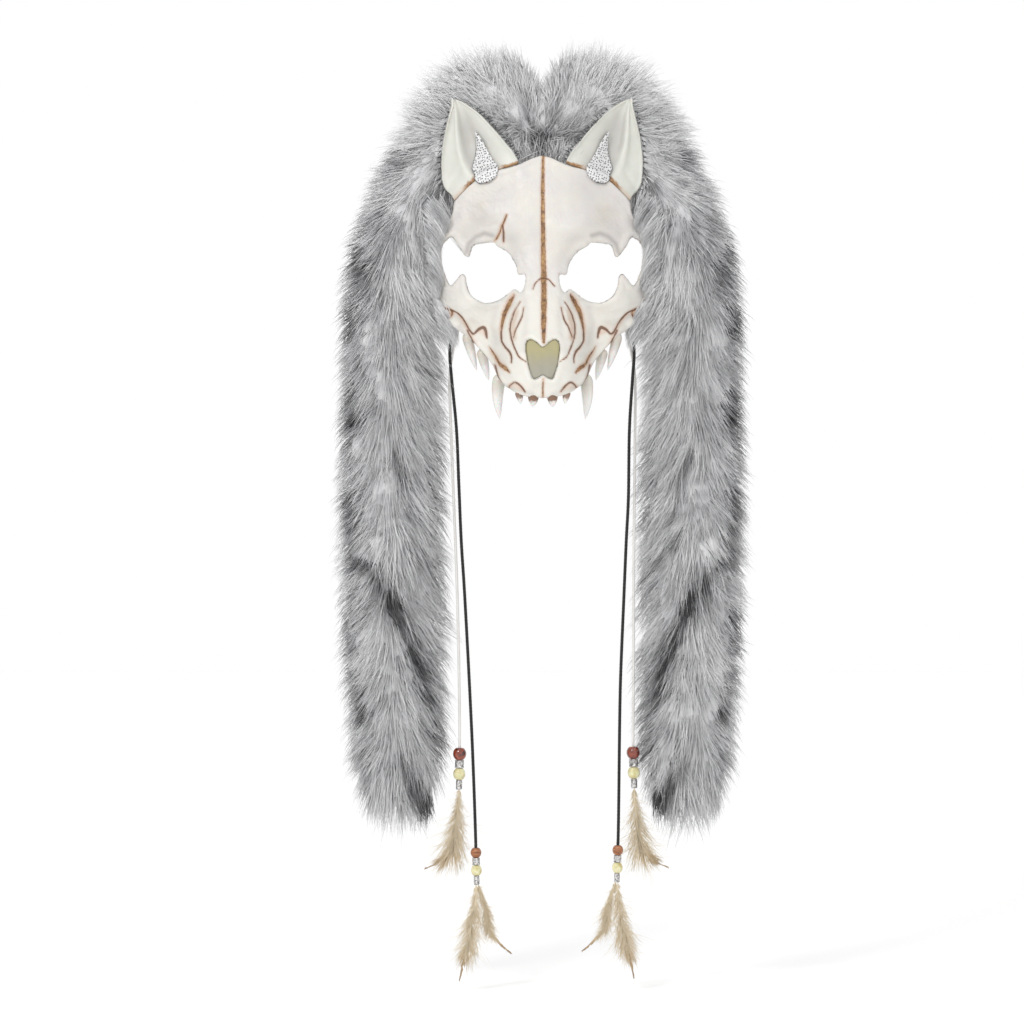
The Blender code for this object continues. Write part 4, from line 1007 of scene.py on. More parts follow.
def boneFinish(name, base, warm):
    # painted resin: a warm white with faint clouds, paler and warmer low on the face, painted shade where the
    # surface is sunk, the soft painted shadows and tan washes, gold brown in the carved lines, and a tan halo
    made = Finish(name, Roughness=0.42, Subsurface_Weight=0.08, Subsurface_Scale=0.003)
    gold, dark, low = made.attribute("gold"), made.attribute("dark"), made.attribute("low")
    speckle = made.noise(480.0, 5.0, 0.8) * 0.5 + made.noise(170.0, 3.0, 0.6) * 0.5
    cloud = made.noise(38.0, 4.0)
    ragged = made.noise(430.0, 4.0, 0.65) * 0.55 + made.noise(150.0, 2.0) * 0.45 - 0.5
    pale = made.mix(cloud.between(0.35, 0.65), base, warm)
    pale = made.mix(1 - made.height().between(-0.045, 0.010), pale, (0.700, 0.682, 0.628))
    # painted shade: darker where the surface lies sunk, in the carved lines and the hollows
    pale = made.mix((0 - low).between(0.2, 1.6) * 0.30, pale, (0.50, 0.44, 0.38))
    # the soft painted shadows of the list, such as under the brow
    pale = made.mix(made.attribute("shade") * (cloud * 0.6 + 0.7), pale, (0.30, 0.275, 0.265))
    pale = made.mix(made.attribute("tan") * (cloud * 0.8 + 0.6), pale, (0.56, 0.35, 0.225))
    halo = 1 - (gold + ragged * 2.2).between(-0.2, 2.0)
    haze = 1 - (dark + ragged * 1.8).between(-0.1, 1.8)
    pale = made.mix(halo * 0.52, pale, (0.50, 0.24, 0.11))
    pale = made.mix(haze * 0.50, pale, (0.46, 0.23, 0.14))
    stain = 1 - (gold + ragged * 2.6).between(-0.30, 0.35)
    line = 1 - (dark + ragged * 1.2).between(0.00, 0.55)
    goldPaint = made.ramp(
        speckle, (0.40, (0.060, 0.026, 0.010)), (0.47, (0.215, 0.100, 0.030)), (0.55, (0.360, 0.200, 0.070)),
        (0.68, (0.530, 0.345, 0.150)),
    )
    goldPaint = made.mix((gold + ragged * 1.6).between(-0.75, 0.10) * 0.65, goldPaint, (0.120, 0.050, 0.020))
    pale = made.mix(stain * 0.94, pale, goldPaint)
    pale = made.mix(1 - made.attribute("nose").between(0.1, 0.7), pale, (0.50, 0.47, 0.38))
    made.paint("Base Color", made.mix(line * 0.85, pale, (0.105, 0.045, 0.018)))
    made.paint("Roughness", made.noise(60.0) * 0.16 + 0.34)
    made.bump(made.noise(420.0, 4.0, 0.6) + speckle * stain * 1.5, 0.0003, 0.45)
    return made.material


skullShell, skullTones = skullShape()
bonePaint = boneFinish("painted bone", (0.625, 0.600, 0.580), (0.665, 0.640, 0.590))
addPiece("skull_shell", skullShell, bonePaint, skullTones, "skull_mask")


print("teeth")
toothBuild = {"rings": 22, "sides": 20, "seat": 0.8, "lean": 0.6}   # seat and lean as shares of the radius
# Root and tip in shares of half the rim width and of the gum drop, root radius, how far it bows out,
# how dark the root is
teeth = (
    {"root": (0.086, 0.962), "tip": (0.090, 1.062), "radius": 0.0044, "bow": 0.0, "stain": 0.9},
    {"root": (0.222, 0.940), "tip": (0.200, 1.036), "radius": 0.0032, "bow": 0.0, "stain": 0.8},
    {"root": (0.395, 0.800), "tip": (0.395, 1.145), "radius": 0.0052, "bow": 0.0016, "stain": 0.0},
    {"root": (0.575, 0.600), "tip": (0.500, 0.842), "radius": 0.0042, "bow": 0.0, "stain": 0.1},
    {"root": (0.715, 0.475), "tip": (0.612, 0.765), "radius": 0.0042, "bow": 0.0, "stain": 0.1},
)


def toothShape(side, root, tip, radius, bow, stain):
    # a cone on a bent line from inside the gum, whose radius is (1 - t^2.2)^0.8 of the root's
    b, half, drop = toothBuild, skull["rimWidth"] / 2, skull["gumDrop"]
    start = np.array([side * root[0] * half, 0, -root[1] * drop])
    end = np.array([side * tip[0] * half, 0, -tip[1] * drop])
    seat = -skullDepth(start[:1], start[2:])[0] + b["seat"] * radius
    start[1], end[1] = seat, seat + b["lean"] * radius
    t = np.linspace(0, 1, b["rings"])
    path = start + (end - start) * t[:, None]
    path[:, 1] -= np.interp(t, (0, 0.35, 0.65, 0.88, 1), (0, 0.25, 0.3, 0.15, 0)) * radius
    path[:, 0] += side * bow * np.sin(np.pi * t)
    rounding = np.where(t < 0.2, np.clip(1 - (1 - t / 0.2) ** 2, 0.02, 1), 1)      # of the hidden root
    size = radius * np.clip(1 - t**2.2, 0.012, 1) ** 0.8 * np.sqrt(rounding)
    shape = outward(*tubeAlong(path, size, b["sides"]))
    tone = np.concatenate([np.repeat(t, b["sides"]), (0, 1)])
    return shape, tone, np.full(len(tone), stain)


def toothFinish():
    # ivory that greys towards the tip, with a brown stain at the root of the stained ones
    made = Finish("tooth resin", Roughness=0.22, Subsurface_Weight=0.35, Subsurface_Scale=0.004)
    along, stain, streak = made.attribute("along"), made.attribute("stain"), made.noise(300.0, 4.0)
    ivory = made.ramp(
        along + (streak - 0.5) * 0.25, (0.25, (0.60, 0.57, 0.51)), (0.55, (0.74, 0.73, 0.70)),
        (0.95, (0.72, 0.74, 0.73)),
    )
    dark = (1 - (along + (streak - 0.5) * 0.5).between(0.40, 0.70)) * stain
    made.paint("Base Color", made.mix(dark, ivory, (0.16, 0.065, 0.022)))
    made.bump(streak, 0.0002, 0.3)
    return made.material


shapes, tones, stains = zip(*[toothShape(side, **row) for side in (-1, 1) for row in teeth])
tones = {"along": np.concatenate(tones), "stain": np.concatenate(stains)}
addPiece("teeth", joinParts(shapes), toothFinish(), tones)


print("nose plate")
nose = {
    "rings": 14, "thick": 0.0018, "edgeRound": 0.0006,
    "share": 0.997,       # of the opening's outline, so that it fits in with a little room
    "setBack": 0.0008,    # behind the skull's face
    "dents": 0.0002,
}


def noseShape():
    # rings of the nose opening's outline drawn in to its middle, a little behind the skull's face
    n, outline = nose, holeOutlines()[2]
    middle = np.array([0.0, -openings["noseDrop"]])
    share = np.linspace(0, 1, n["rings"])[1:, None, None]
    flat = np.concatenate([middle[None], (middle + (outline - middle) * share * n["share"]).reshape(-1, 2)])
    count = len(outline)
    ring = np.arange(count)
    fan = np.stack([0 * ring, 1 + np.roll(ring, -1), 1 + ring], axis=1)
    triangles = np.concatenate([fan, halved(gridFaces(n["rings"] - 1, count, closeColumns=True) + 1)])
    room = np.abs(toSegments(flat, outline * n["share"] + middle * (1 - n["share"]), True)[0])
    room[-count:] = 0
    y = -skullDepth(flat[:, 0], flat[:, 1]) + n["setBack"] - n["dents"] * waves(flat, 71, 0.010)
    front = np.stack([flat[:, 0], y, flat[:, 1]], axis=1)
    normal = np.tile((0.0, -1.0, 0.0), (len(front), 1))
    return roundedShell(front, normal, room, triangles, n["thick"], n["edgeRound"])[:2]


def noseFinish():
    # olive above and greyer below, in soft clouds
    made = Finish("olive grey paint", Roughness=0.6)
    cloud = made.noise(90.0, 4.0)
    tone = made.height().between(-0.088, -0.060) + (cloud - 0.5) * 0.5
    made.paint("Base Color", made.ramp(
        tone, (0.1, (0.33, 0.315, 0.255)), (0.5, (0.35, 0.325, 0.225)), (0.9, (0.38, 0.345, 0.185)),
    ))
    made.bump(made.noise(500.0, 4.0), 0.0002, 0.4)
    return made.material


addPiece("nose_paint", noseShape(), noseFinish(), replaced="nose_plate")


print("ears")
ears = {
    "tipHeight": 0.139, "tipSpread": 0.07004, "cup": 0.009, "lean": 0.006, "wall": 0.002,
    "innerBase": 0.27, "root": 0.10, "gap": 0.0003, "columns": 61, "rows": 72,
    "top": 0.992,           # where the last row is: just short of the tip
    "edgeRound": 0.0010,
    "rim": 0.0011,          # how far the rolled edge stands forward
    "crease": 0.0007,       # height of the fine ridge that runs up the ear
    "fold": 0.0008,         # depth of the dent above the outer corner
    "grain": 0.00012,
    "seam": 0.07,           # height that the paint measures the ear's base from
}
earEdges = table(
    "up outer inner",
    (0.00, 0.000, 0.000), (0.14, 0.170, 0.050), (0.32, 0.225, 0.195), (0.55, 0.205, 0.400),
    (0.80, 0.110, 0.665), (0.93, 0.045, 0.865), (1.00, 0.000, 1.000),
)
earSection = table(
    "across depth",
    (0.00, 0.10), (0.10, 0.35), (0.22, 0.42), (0.30, 0.22), (0.42, 0.80), (0.55, 1.00),
    (0.72, 0.62), (0.88, 0.22), (1.00, 0.00),
)
inlay = {
    "thick": 0.0012, "lift": 0.0012, "columns": 34, "rows": 72,
    "outline": table(
        "up middle half",
        (-0.14, 0.55, 0.010), (-0.115, 0.545, 0.095), (-0.05, 0.525, 0.160), (0.04, 0.520, 0.180),
        (0.12, 0.540, 0.158), (0.20, 0.580, 0.118), (0.30, 0.62, 0.085), (0.42, 0.66, 0.050),
        (0.54, 0.68, 0.010),
    ),
    "pillow": 0.0006,       # how far its middle swells
    "edgeRound": 0.0006,
    "scale": 62,            # millimetres of its height in one of the ear's, for the mesh's holes
}


def earPoint(across, up, side):
    # across from the outer to the inner edge and up from the seat to the tip: the edges run straight to the
    # tip plus the tables' swing, and the cup lies back by sin(pi up^0.8)^0.9 times the section
    e = ears
    seat = np.clip(up, None, 0)
    rise = np.clip(up, 0, 1)
    base = skullPoint(side * (e["innerBase"] + (1 - across) * (1 - e["innerBase"])), np.zeros_like(across))
    outer = skullPoint(side * np.ones_like(across), np.zeros_like(across))[..., 0]
    inner = skullPoint(side * np.full_like(across, e["innerBase"]), np.zeros_like(across))[..., 0]
    tip = side * e["tipSpread"]
    swing = read(earEdges, "outer", rise) * (e["cup"] + skull["wall"]) * 4
    outerX = outer + side * swing + (tip - outer) * rise
    innerX = inner + (tip - inner) * read(earEdges, "inner", rise)
    bottom = base[..., 2] + e["gap"]
    z = bottom + (e["tipHeight"] - bottom) * (rise + seat)
    blend = np.clip(rise / e["root"], 0, 1)
    x = base[..., 0] * (1 - blend) + (outerX + (innerX - outerX) * across) * blend
    swell = np.sin(np.pi * rise**0.8) ** 0.9
    cup = e["cup"] * read(earSection, "depth", across) * swell
    y = -skullDepth(x, np.minimum(z, bottom)) + cup + e["lean"] * rise
    return np.stack([x, y, z], axis=-1)


def gridShell(points, normal, room, wall, edgeRound, tones):
    # a rounded shell on a grid of points, with the paint's values at the points that it keeps
    points, normal, triangles = points.reshape(-1, 3), normal.reshape(-1, 3), halved(gridFaces(*room.shape))
    shape = roundedShell(points, normal, room.ravel(), triangles, wall, edgeRound)
    return shape[:2], {key: values.ravel()[shape[2]] for key, values in tones.items()}


def earShape(side):
    # the ear's cupped sheet, closer rows of points near its edges, with ridges across its normal: each
    # stands height exp(-(distance / width)^2) out, and fades at its ends
    e = ears
    share = np.linspace(0, 1, e["columns"])
    crowded = 0.5 - 0.5 * np.cos(np.pi * share) * (0.4 + 0.6 * np.abs(np.cos(np.pi * share)))
    across, up = np.meshgrid(crowded, np.linspace(0, e["top"], e["rows"]))
    points = earPoint(across, up, side)
    room = edgeRoom(points)
    ends = smoothStep(0.02, 0.2, up) * smoothStep(0.99, 0.90, up)
    rim = e["rim"] * np.exp(-(((room * 1000 - 1.2) / 1.5) ** 2)) * ends
    ends = smoothStep(0.1, 0.4, up) * smoothStep(0.95, 0.7, up)
    crease = e["crease"] * np.exp(-(((across - 0.30 + 0.04 * up) / 0.030) ** 2)) * ends
    ends = smoothStep(0.35, 0.15, across)
    fold = -e["fold"] * np.exp(-(((up - 0.10 - 0.30 * across) / 0.035) ** 2)) * ends
    grain = e["grain"] * waves(points.reshape(-1, 3), 8 + side, 0.012).reshape(room.shape)
    points = points + gridNormals(points) * (rim + crease + fold + grain)[..., None]
    # cup marks the ear's hollow, where the finish paints shade
    tones = {
        "base": np.clip(up, 0, 1) * (e["tipHeight"] - e["seam"]) * 1000, "across": across,
        "cup": smoothStep(0.30, 0.40, across) * smoothStep(0.95, 0.55, across) * smoothStep(0.98, 0.6, up),
    }
    return gridShell(points, gridNormals(points), room, e["wall"], e["edgeRound"], tones)


def earFinish():
    # greenish ivory, darker in the cup as painted shade, with gold brown where the ear meets the skull
    made = Finish("painted ear", Roughness=0.42, Subsurface_Weight=0.06, Subsurface_Scale=0.003)
    base, cup, across = made.attribute("base"), made.attribute("cup"), made.attribute("across")
    cloud, speckle = made.noise(45.0, 4.0), made.noise(500.0, 5.0, 0.7)
    ragged = made.noise(300.0, 4.0, 0.6) - 0.5
    ivory = made.mix(cloud.between(0.35, 0.65), (0.610, 0.615, 0.560), (0.650, 0.650, 0.600))
    # painted shade in the hollow of the cup
    ivory = made.mix(cup * 0.75, ivory, (0.445, 0.430, 0.405))
    bands = across.between(0.12, 0.22) * (1 - across.between(0.36, 0.46))
    bands = bands + across.between(0.72, 0.80)
    edge = 1 - (base + ragged * 5.0).between(1.5, 3.6)
    halo = 1 - (base + ragged * 3.0).between(0.5, 4.5)
    ivory = made.mix(halo * 0.40, ivory, (0.50, 0.28, 0.14))
    paint = made.ramp(
        speckle, (0.30, (0.10, 0.030, 0.018)), (0.50, (0.30, 0.155, 0.060)), (0.70, (0.50, 0.330, 0.140)),
    )
    made.paint("Base Color", made.mix(edge * bands.lower(1.0) * 0.95, ivory, paint))
    made.paint("Roughness", cloud * 0.15 + 0.35)
    made.bump(made.noise(420.0, 4.0, 0.6), 0.0002, 0.35)
    return made.material


def inlayFinish():
    # a silver mesh: staggered holes painted dark, as painted shade seen through them, a painted shadow along
    # its outer side, and threads that glint
    made = Finish("silver mesh", Metallic=0.55)
    flat = made.add("ShaderNodeCombineXYZ", None, {
        "X": made.attribute("across"), "Y": made.attribute("up"),
    })
    cells = made.add("ShaderNodeTexVoronoi", {"voronoi_dimensions": "2D"}, {
        "Vector": flat, "Scale": 0.47, "Randomness": 0.60,
    })
    # the holes are painted dark as painted shade, and near the outer side the whole mesh darkens as a painted
    # shadow of the ear's edge
    hole = (1 - cells.between(0.14, 0.29)).higher(0.75 - made.attribute("edge").between(0.2, 1.2) * 0.75)
    thread = made.noise(2600.0, 3.0, 0.7)
    weave = made.ramp(
        thread, (0.34, (0.42, 0.42, 0.43)), (0.50, (0.70, 0.70, 0.70)), (0.62, (0.95, 0.95, 0.94)),
    )
    made.paint("Base Color", made.mix(hole, weave, (0.035, 0.035, 0.040)))
    made.paint("Roughness", 0.30 + thread * 0.35)
    made.bump(thread - hole * 0.9, 0.0004, 0.8)
    return made.material


def inlayShape(side):
    # a patch of the ear's own sheet, a little above it, that swells by 1 - share^2 between its sides
    i = inlay
    rows, columns = i["rows"], i["columns"]
    ups = np.linspace(i["outline"]["up"][0], i["outline"]["up"][-1], rows)
    share, up = np.meshgrid(np.linspace(-1, 1, columns), ups)
    share = share * (1.5 - 0.5 * share**2)
    across = read(i["outline"], "middle", up) + share * read(i["outline"], "half", up)
    points = earPoint(across, up, side)
    normal = gridNormals(points)
    rise = i["lift"] + i["thick"] + i["pillow"] * (1 - share**2)
    front = points + normal * rise[..., None]
    room = edgeRoom(front)
    middle = points[:, columns // 2:columns // 2 + 1]
    # edge is small only near the mesh's outer side, where the finish paints the shadow of the ear's edge
    tones = {
        "across": np.linalg.norm(points - middle, axis=-1) * np.sign(share) * 1000,
        "up": (up - up.min()) * i["scale"], "edge": room * 1000 + 3 * smoothStep(-0.3, 0.4, share),
    }
    return gridShell(front, normal, room, i["thick"], i["edgeRound"], tones)


earPaint, meshPaint = earFinish(), inlayFinish()
for side, word in ((-1, "left"), (1, "right")):
    for name, make, paint, slot, node in (
        ("ear_shell", earShape, earPaint, "ear_resin", "ear"),
        ("ear_mesh", inlayShape, meshPaint, "silver_mesh", "ear_inlay"),
    ):
        shape, tones = make(side)
        addPiece(f"{word}_{name}", shape, paint, tones, f"{word}_{node}")


print("stitches")
stitches = {
    "outer": (0.12, 0.86, 15), "inner": (0.06, 0.80, 17),   # along each edge: from, to and how many
    "threads": 3,                   # to a stitch
    "length": (0.0028, 0.0052), "width": 0.0009,
    "out": 0.0004, "forward": 0.0040, "scatter": 0.0004,
}


def earStitches(side):
    # short dark threads that cross each ear's edge into the fur, about 4 mm apart
    s, dice = stitches, np.random.default_rng(40 + side)
    up = np.concatenate([np.linspace(*s["outer"]), np.linspace(*s["inner"])])
    across = np.concatenate([np.zeros(s["outer"][2]), np.ones(s["inner"][2])])
    edge = earPoint(across, up, side)
    inside = earPoint(np.abs(across - 0.1), up, side)
    out = unit((edge - inside) * (1, 0, 1))
    count = len(up) * s["threads"]
    root = np.repeat(edge + out * s["out"], s["threads"], axis=0)
    root = root + dice.normal(0, s["scatter"], (count, 3)) - (0, s["forward"], 0)
    direction = unit(np.repeat(out, s["threads"], axis=0) + dice.normal(0, 0.35, (count, 3)) * (1, 0.3, 1))
    bend = dice.normal(0, 0.25, (count, 3)) - (0, 0.1, 0)
    length = dice.uniform(*s["length"], count)
    return outward(*strands(root, direction, bend, length, np.full(count, s["width"]), (0.0, 0.4, 0.75)))


thread = Finish("dark thread", Roughness=0.7)
thread.paint("Base Color", thread.mix(thread.noise(700.0), (0.035, 0.035, 0.037), (0.13, 0.13, 0.135)))
for side, word in ((-1, "left"), (1, "right")):
    addPiece(f"{word}_ear_stitches", earStitches(side), thread.material)


print("fur")
fur = {
    "spread": 0.1224, "archHeight": 0.140, "drop": 0.446, "width": 0.092, "thick": 0.054,
    "setBack": 0.006, "archSetBack": 0.020,
    "rootShare": 0.66,      # how far out of the fall's section the hairs start
    "archEnd": (0.10, 0.27), "close": (0.86, 0.97),     # along the fall: where the arch ends and it closes
    "frontShare": 0.22,     # of the hairs, placed once more on the front
    "flatness": 0.7,        # of a hair's three-sided section
}
backing = {
    "rows": 120, "columns": 48,
    "end": 0.955, "tip": 0.962,     # along the fall: the last ring, and the point that closes it
    "share": 1.06,                  # of the share that the hairs start at
    "crossing": 0.0012,             # how far it may reach over the midline
}
# The kinds of hair on each fall: "rings" are where a hair has its rings, "lift" is how far it leans out
hairKinds = {
    "guard": {
        "count": 9700, "length": (0.026, 0.038), "width": (0.00050, 0.00090), "rings": (0.0, 0.40, 0.75),
        "lift": 0.80, "seed": 32,
    },
    "under": {
        "count": 14200, "length": (0.018, 0.028), "width": (0.00070, 0.00120), "rings": (0.0, 0.55),
        "lift": 0.58, "seed": 25,
    },
    "front": {
        "count": 1750, "length": (0.014, 0.024), "width": (0.00050, 0.00090), "rings": (0.0, 0.45, 0.85),
        "seed": 16,
    },
    "crown": {
        "count": 420, "length": (0.012, 0.022), "width": (0.00070, 0.00120), "rings": (0.0, 0.40, 0.75),
        "seed": 20,
    },
}
fallLine = table(
    "along across arch drop width thick back turn",
    (0.000, 0.000, 0.835, 0.000, 0.68, 0.76, -0.10, 0),
    (0.035, 0.144, 0.950, 0.000, 0.98, 0.86, 0.25, 0),
    (0.061, 0.275, 0.995, 0.000, 0.90, 0.94, 0.55, 5),
    (0.085, 0.405, 0.990, 0.000, 0.88, 1.00, 0.75, 16),
    (0.110, 0.516, 0.935, 0.000, 0.88, 1.00, 0.80, 36),
    (0.139, 0.605, 0.820, 0.000, 0.88, 1.00, 0.75, 52),
    (0.191, 0.725, 0.594, 0.000, 0.89, 1.00, 0.40, 63),
    (0.253, 0.880, 0.326, 0.000, 0.88, 1.00, -0.10, 69),
    (0.309, 0.972, 0.069, 0.000, 0.88, 1.00, -0.35, 79),
    (0.371, 0.995, 0.000, 0.068, 0.91, 1.00, -0.40, 87),
    (0.480, 0.993, 0.000, 0.230, 0.96, 1.00, -0.25, 90),
    (0.601, 1.000, 0.000, 0.410, 1.00, 1.00, 0.00, 90),
    (0.723, 0.990, 0.000, 0.590, 0.98, 0.98, 0.00, 90),
    (0.844, 0.970, 0.000, 0.770, 0.92, 0.92, 0.00, 90),
    (0.935, 0.945, 0.000, 0.905, 0.80, 0.80, 0.00, 90),
    (0.979, 0.925, 0.000, 0.970, 0.56, 0.56, 0.00, 90),
    (1.000, 0.915, 0.000, 1.000, 0.12, 0.12, 0.00, 90),
)
# Dark marks of one fall in millimetres: across and up of both ends, half width, strength; most are the fur's
# own dark markings, and those along the ear's edges, beside the forehead and down the fall's inner edge by
# the mask are painted shadow
furMarkingsAndShadows = (
    (-124, 98, -112, 88, 6, 0.7), (-139, 44, -136, 38, 7, 0.6), (-150, 18, -146, -18, 6, 0.8),
    (-157, -30, -154, -50, 6, 0.9), (-150, -76, -146, -80, 6, 0.6), (-155, -98, -152, -120, 6, 0.9),
    (-156, -180, -152, -232, 6, 0.9), (-118, -142, -108, -174, 4, 0.45), (-108, -186, -104, -196, 4, 0.5),
    (-138, -238, -118, -268, 6, 0.8), (-118, -268, -100, -306, 6, 0.95), (-98, -308, -88, -342, 6, 0.8),
    (-158, -318, -142, -358, 6, 0.8), (-110, -396, -94, -424, 7, 1.0), (-94, -424, -86, -438, 6, 0.9),
    (-84, -358, -76, -392, 5, 0.7), (-3, 110, 0, 104, 5, 0.7), (-90, 62, -84, 50, 6, 0.6),
    (-128, -126, -122, -134, 5, 0.3), (-88, 10, -84, -14, 5, 0.35), (-16, 138, 0, 110, 7, 0.35),
    (-34, 128, -8, 106, 5, 0.3), (-84, 134, -88, 64, 3, 0.4), (-64, 134, -24, 88, 3, 0.4),
    (-78, 62, -75, 32, 4, 0.5),
    (-72, -58, -72, -330, 5, 0.3), (-160, 40, -163, 10, 5, 0.5), (-162, -140, -160, -160, 5, 0.6),
    (-162, -270, -156, -300, 5, 0.6), (-104, -20, -110, -60, 6, 0.25), (-120, 20, -128, -10, 7, 0.25),
    (-104, -216, -92, -234, 4, 0.5), (-84, -184, -79, -200, 4, 0.5), (-82, -140, -78, -165, 4, 0.4),
    (-80, -238, -77, -248, 4, 0.4), (-112, -62, -116, -84, 6, 0.35),
)


def fallFrame(along):
    # the right fall's middle line, its outward direction in the picture plane, and half its section
    f = fur
    x = read(fallLine, "across", along) * f["spread"]
    z = read(fallLine, "arch", along) * f["archHeight"] - read(fallLine, "drop", along) * f["drop"]
    y = f["setBack"] + read(fallLine, "back", along) * f["archSetBack"]
    turn = np.radians(read(fallLine, "turn", along))
    outwardWay = np.stack([np.sin(turn), 0 * turn, np.cos(turn)], axis=-1)
    wide = read(fallLine, "width", along) * f["width"] / 2
    thick = read(fallLine, "thick", along) * f["thick"] / 2
    return np.stack([x, y, z], axis=-1), outwardWay, wide, thick


frontWay = np.array([0.0, -1.0, 0.0])


def fallSurface(along, turn, share):
    # a point of the fall's oval section: outwards times cos, and to the front times sin
    middle, out, wide, thick = fallFrame(along)
    return (
        middle + out * (wide * share * np.cos(turn))[..., None]
        + frontWay * (thick * share * np.sin(turn))[..., None]
    )


def furTone(points):
    # 1 on pale fur down to 0 in the dark markings and painted shadows, with streaks and clouds
    x, z = -np.abs(points[:, 0]) * 1000, points[:, 2] * 1000
    flat = np.stack([x, z], axis=1)
    tone = 0.70 + 0.07 * waves(points, 31, 0.060) + 0.09 * waves(points, 32, 0.016)
    tone += 0.27 * smoothStep(50, 120, z) * smoothStep(-8, -40, x)
    tone += 0.15 * smoothStep(-110, -40, z) * smoothStep(60, 20, z) * smoothStep(-132, -104, x)
    tone += 0.02 * waves(flat * (1, 0.35), 34, 14.0)
    for fromX, fromZ, toX, toZ, half, strength in furMarkingsAndShadows:
        run = np.array([(fromX, fromZ), (toX, toZ)], float)
        distance = toSegments(flat, run)[0] + 2.5 * waves(points, 33, 0.012)
        tone -= 0.55 * strength * np.exp(-((np.maximum(distance, 0) / half) ** 2))
    return np.clip(tone, 0.05, 0.93)


# The edge of the face against the fur on the right, across and up in metres, from forehead to cheek
faceEdge = (
    (0.0728, 0.0400), (0.0738, 0.0330), (0.0774, 0.0262), (0.0798, 0.0176), (0.0802, 0.0016),
    (0.0780, -0.0110), (0.0826, -0.0248), (0.0830, -0.0336), (0.0732, -0.0445), (0.0674, -0.0515),
    (0.0668, -0.0580), (0.0690, -0.0640),
)
# The grid over the right half of the picture plane that says where the mask covers the fur
cover = {"cell": 0.0016, "columns": 70, "rows": 170, "bottom": -0.12, "margin": 0.0004}


def coverCell(points):
    # the column and row of the cell that each point falls in, on either side
    c = cover
    columns = np.clip((np.abs(points[:, 0]) / c["cell"]).astype(int), 0, c["columns"] - 1)
    return columns, np.clip(((points[:, 2] - c["bottom"]) / c["cell"]).astype(int), 0, c["rows"] - 1)


def coverage():
    # for each cell: how far back the mask reaches; the eye openings count as wholly covered, so that no
    # hair hangs across them
    c = cover
    back = np.full((c["columns"], c["rows"]), -1.0)
    points = np.concatenate([skullShell[0], earShape(1)[0][0]])
    points = points[points[:, 0] > 0]
    np.maximum.at(back, coverCell(points), points[:, 1])
    across, up = (np.arange(c["columns"]) + 0.5) * c["cell"], (np.arange(c["rows"]) + 0.5) * c["cell"]
    flat = np.stack(np.meshgrid(across, up + c["bottom"], indexing="ij"), axis=-1).reshape(-1, 2)
    back[outlineDistance(flat, holeOutlines()[1])[0].reshape(back.shape) < 0] = 1.0
    return back


maskBack = coverage()


def inFront(points):
    # whether each point lies in front of the mask, or less than the margin behind it
    return points[:, 1] < maskBack[coverCell(points)] + cover["margin"]


def hairs(side, kind, dice, root, direction, bend, length, places, spread=0.06):
    # the strands of one kind, carried over to their side; each has the fur's tone at its place, give or
    # take the spread, and reach is 0 at its root and 1 at its tip
    k, count = hairKinds[kind], len(root)
    width = dice.uniform(*k["width"], count)
    points, *faces = strands(root, direction, bend, length, width, k["rings"], fur["flatness"])
    tone = furTone(places) + dice.normal(0, spread, count)
    reach = np.append(np.repeat(k["rings"], 3), 1.0)
    tones = {"tone": np.repeat(tone, len(reach)), "reach": np.tile(reach, count)}
    return outward(points * (side, 1, 1), *faces), tones


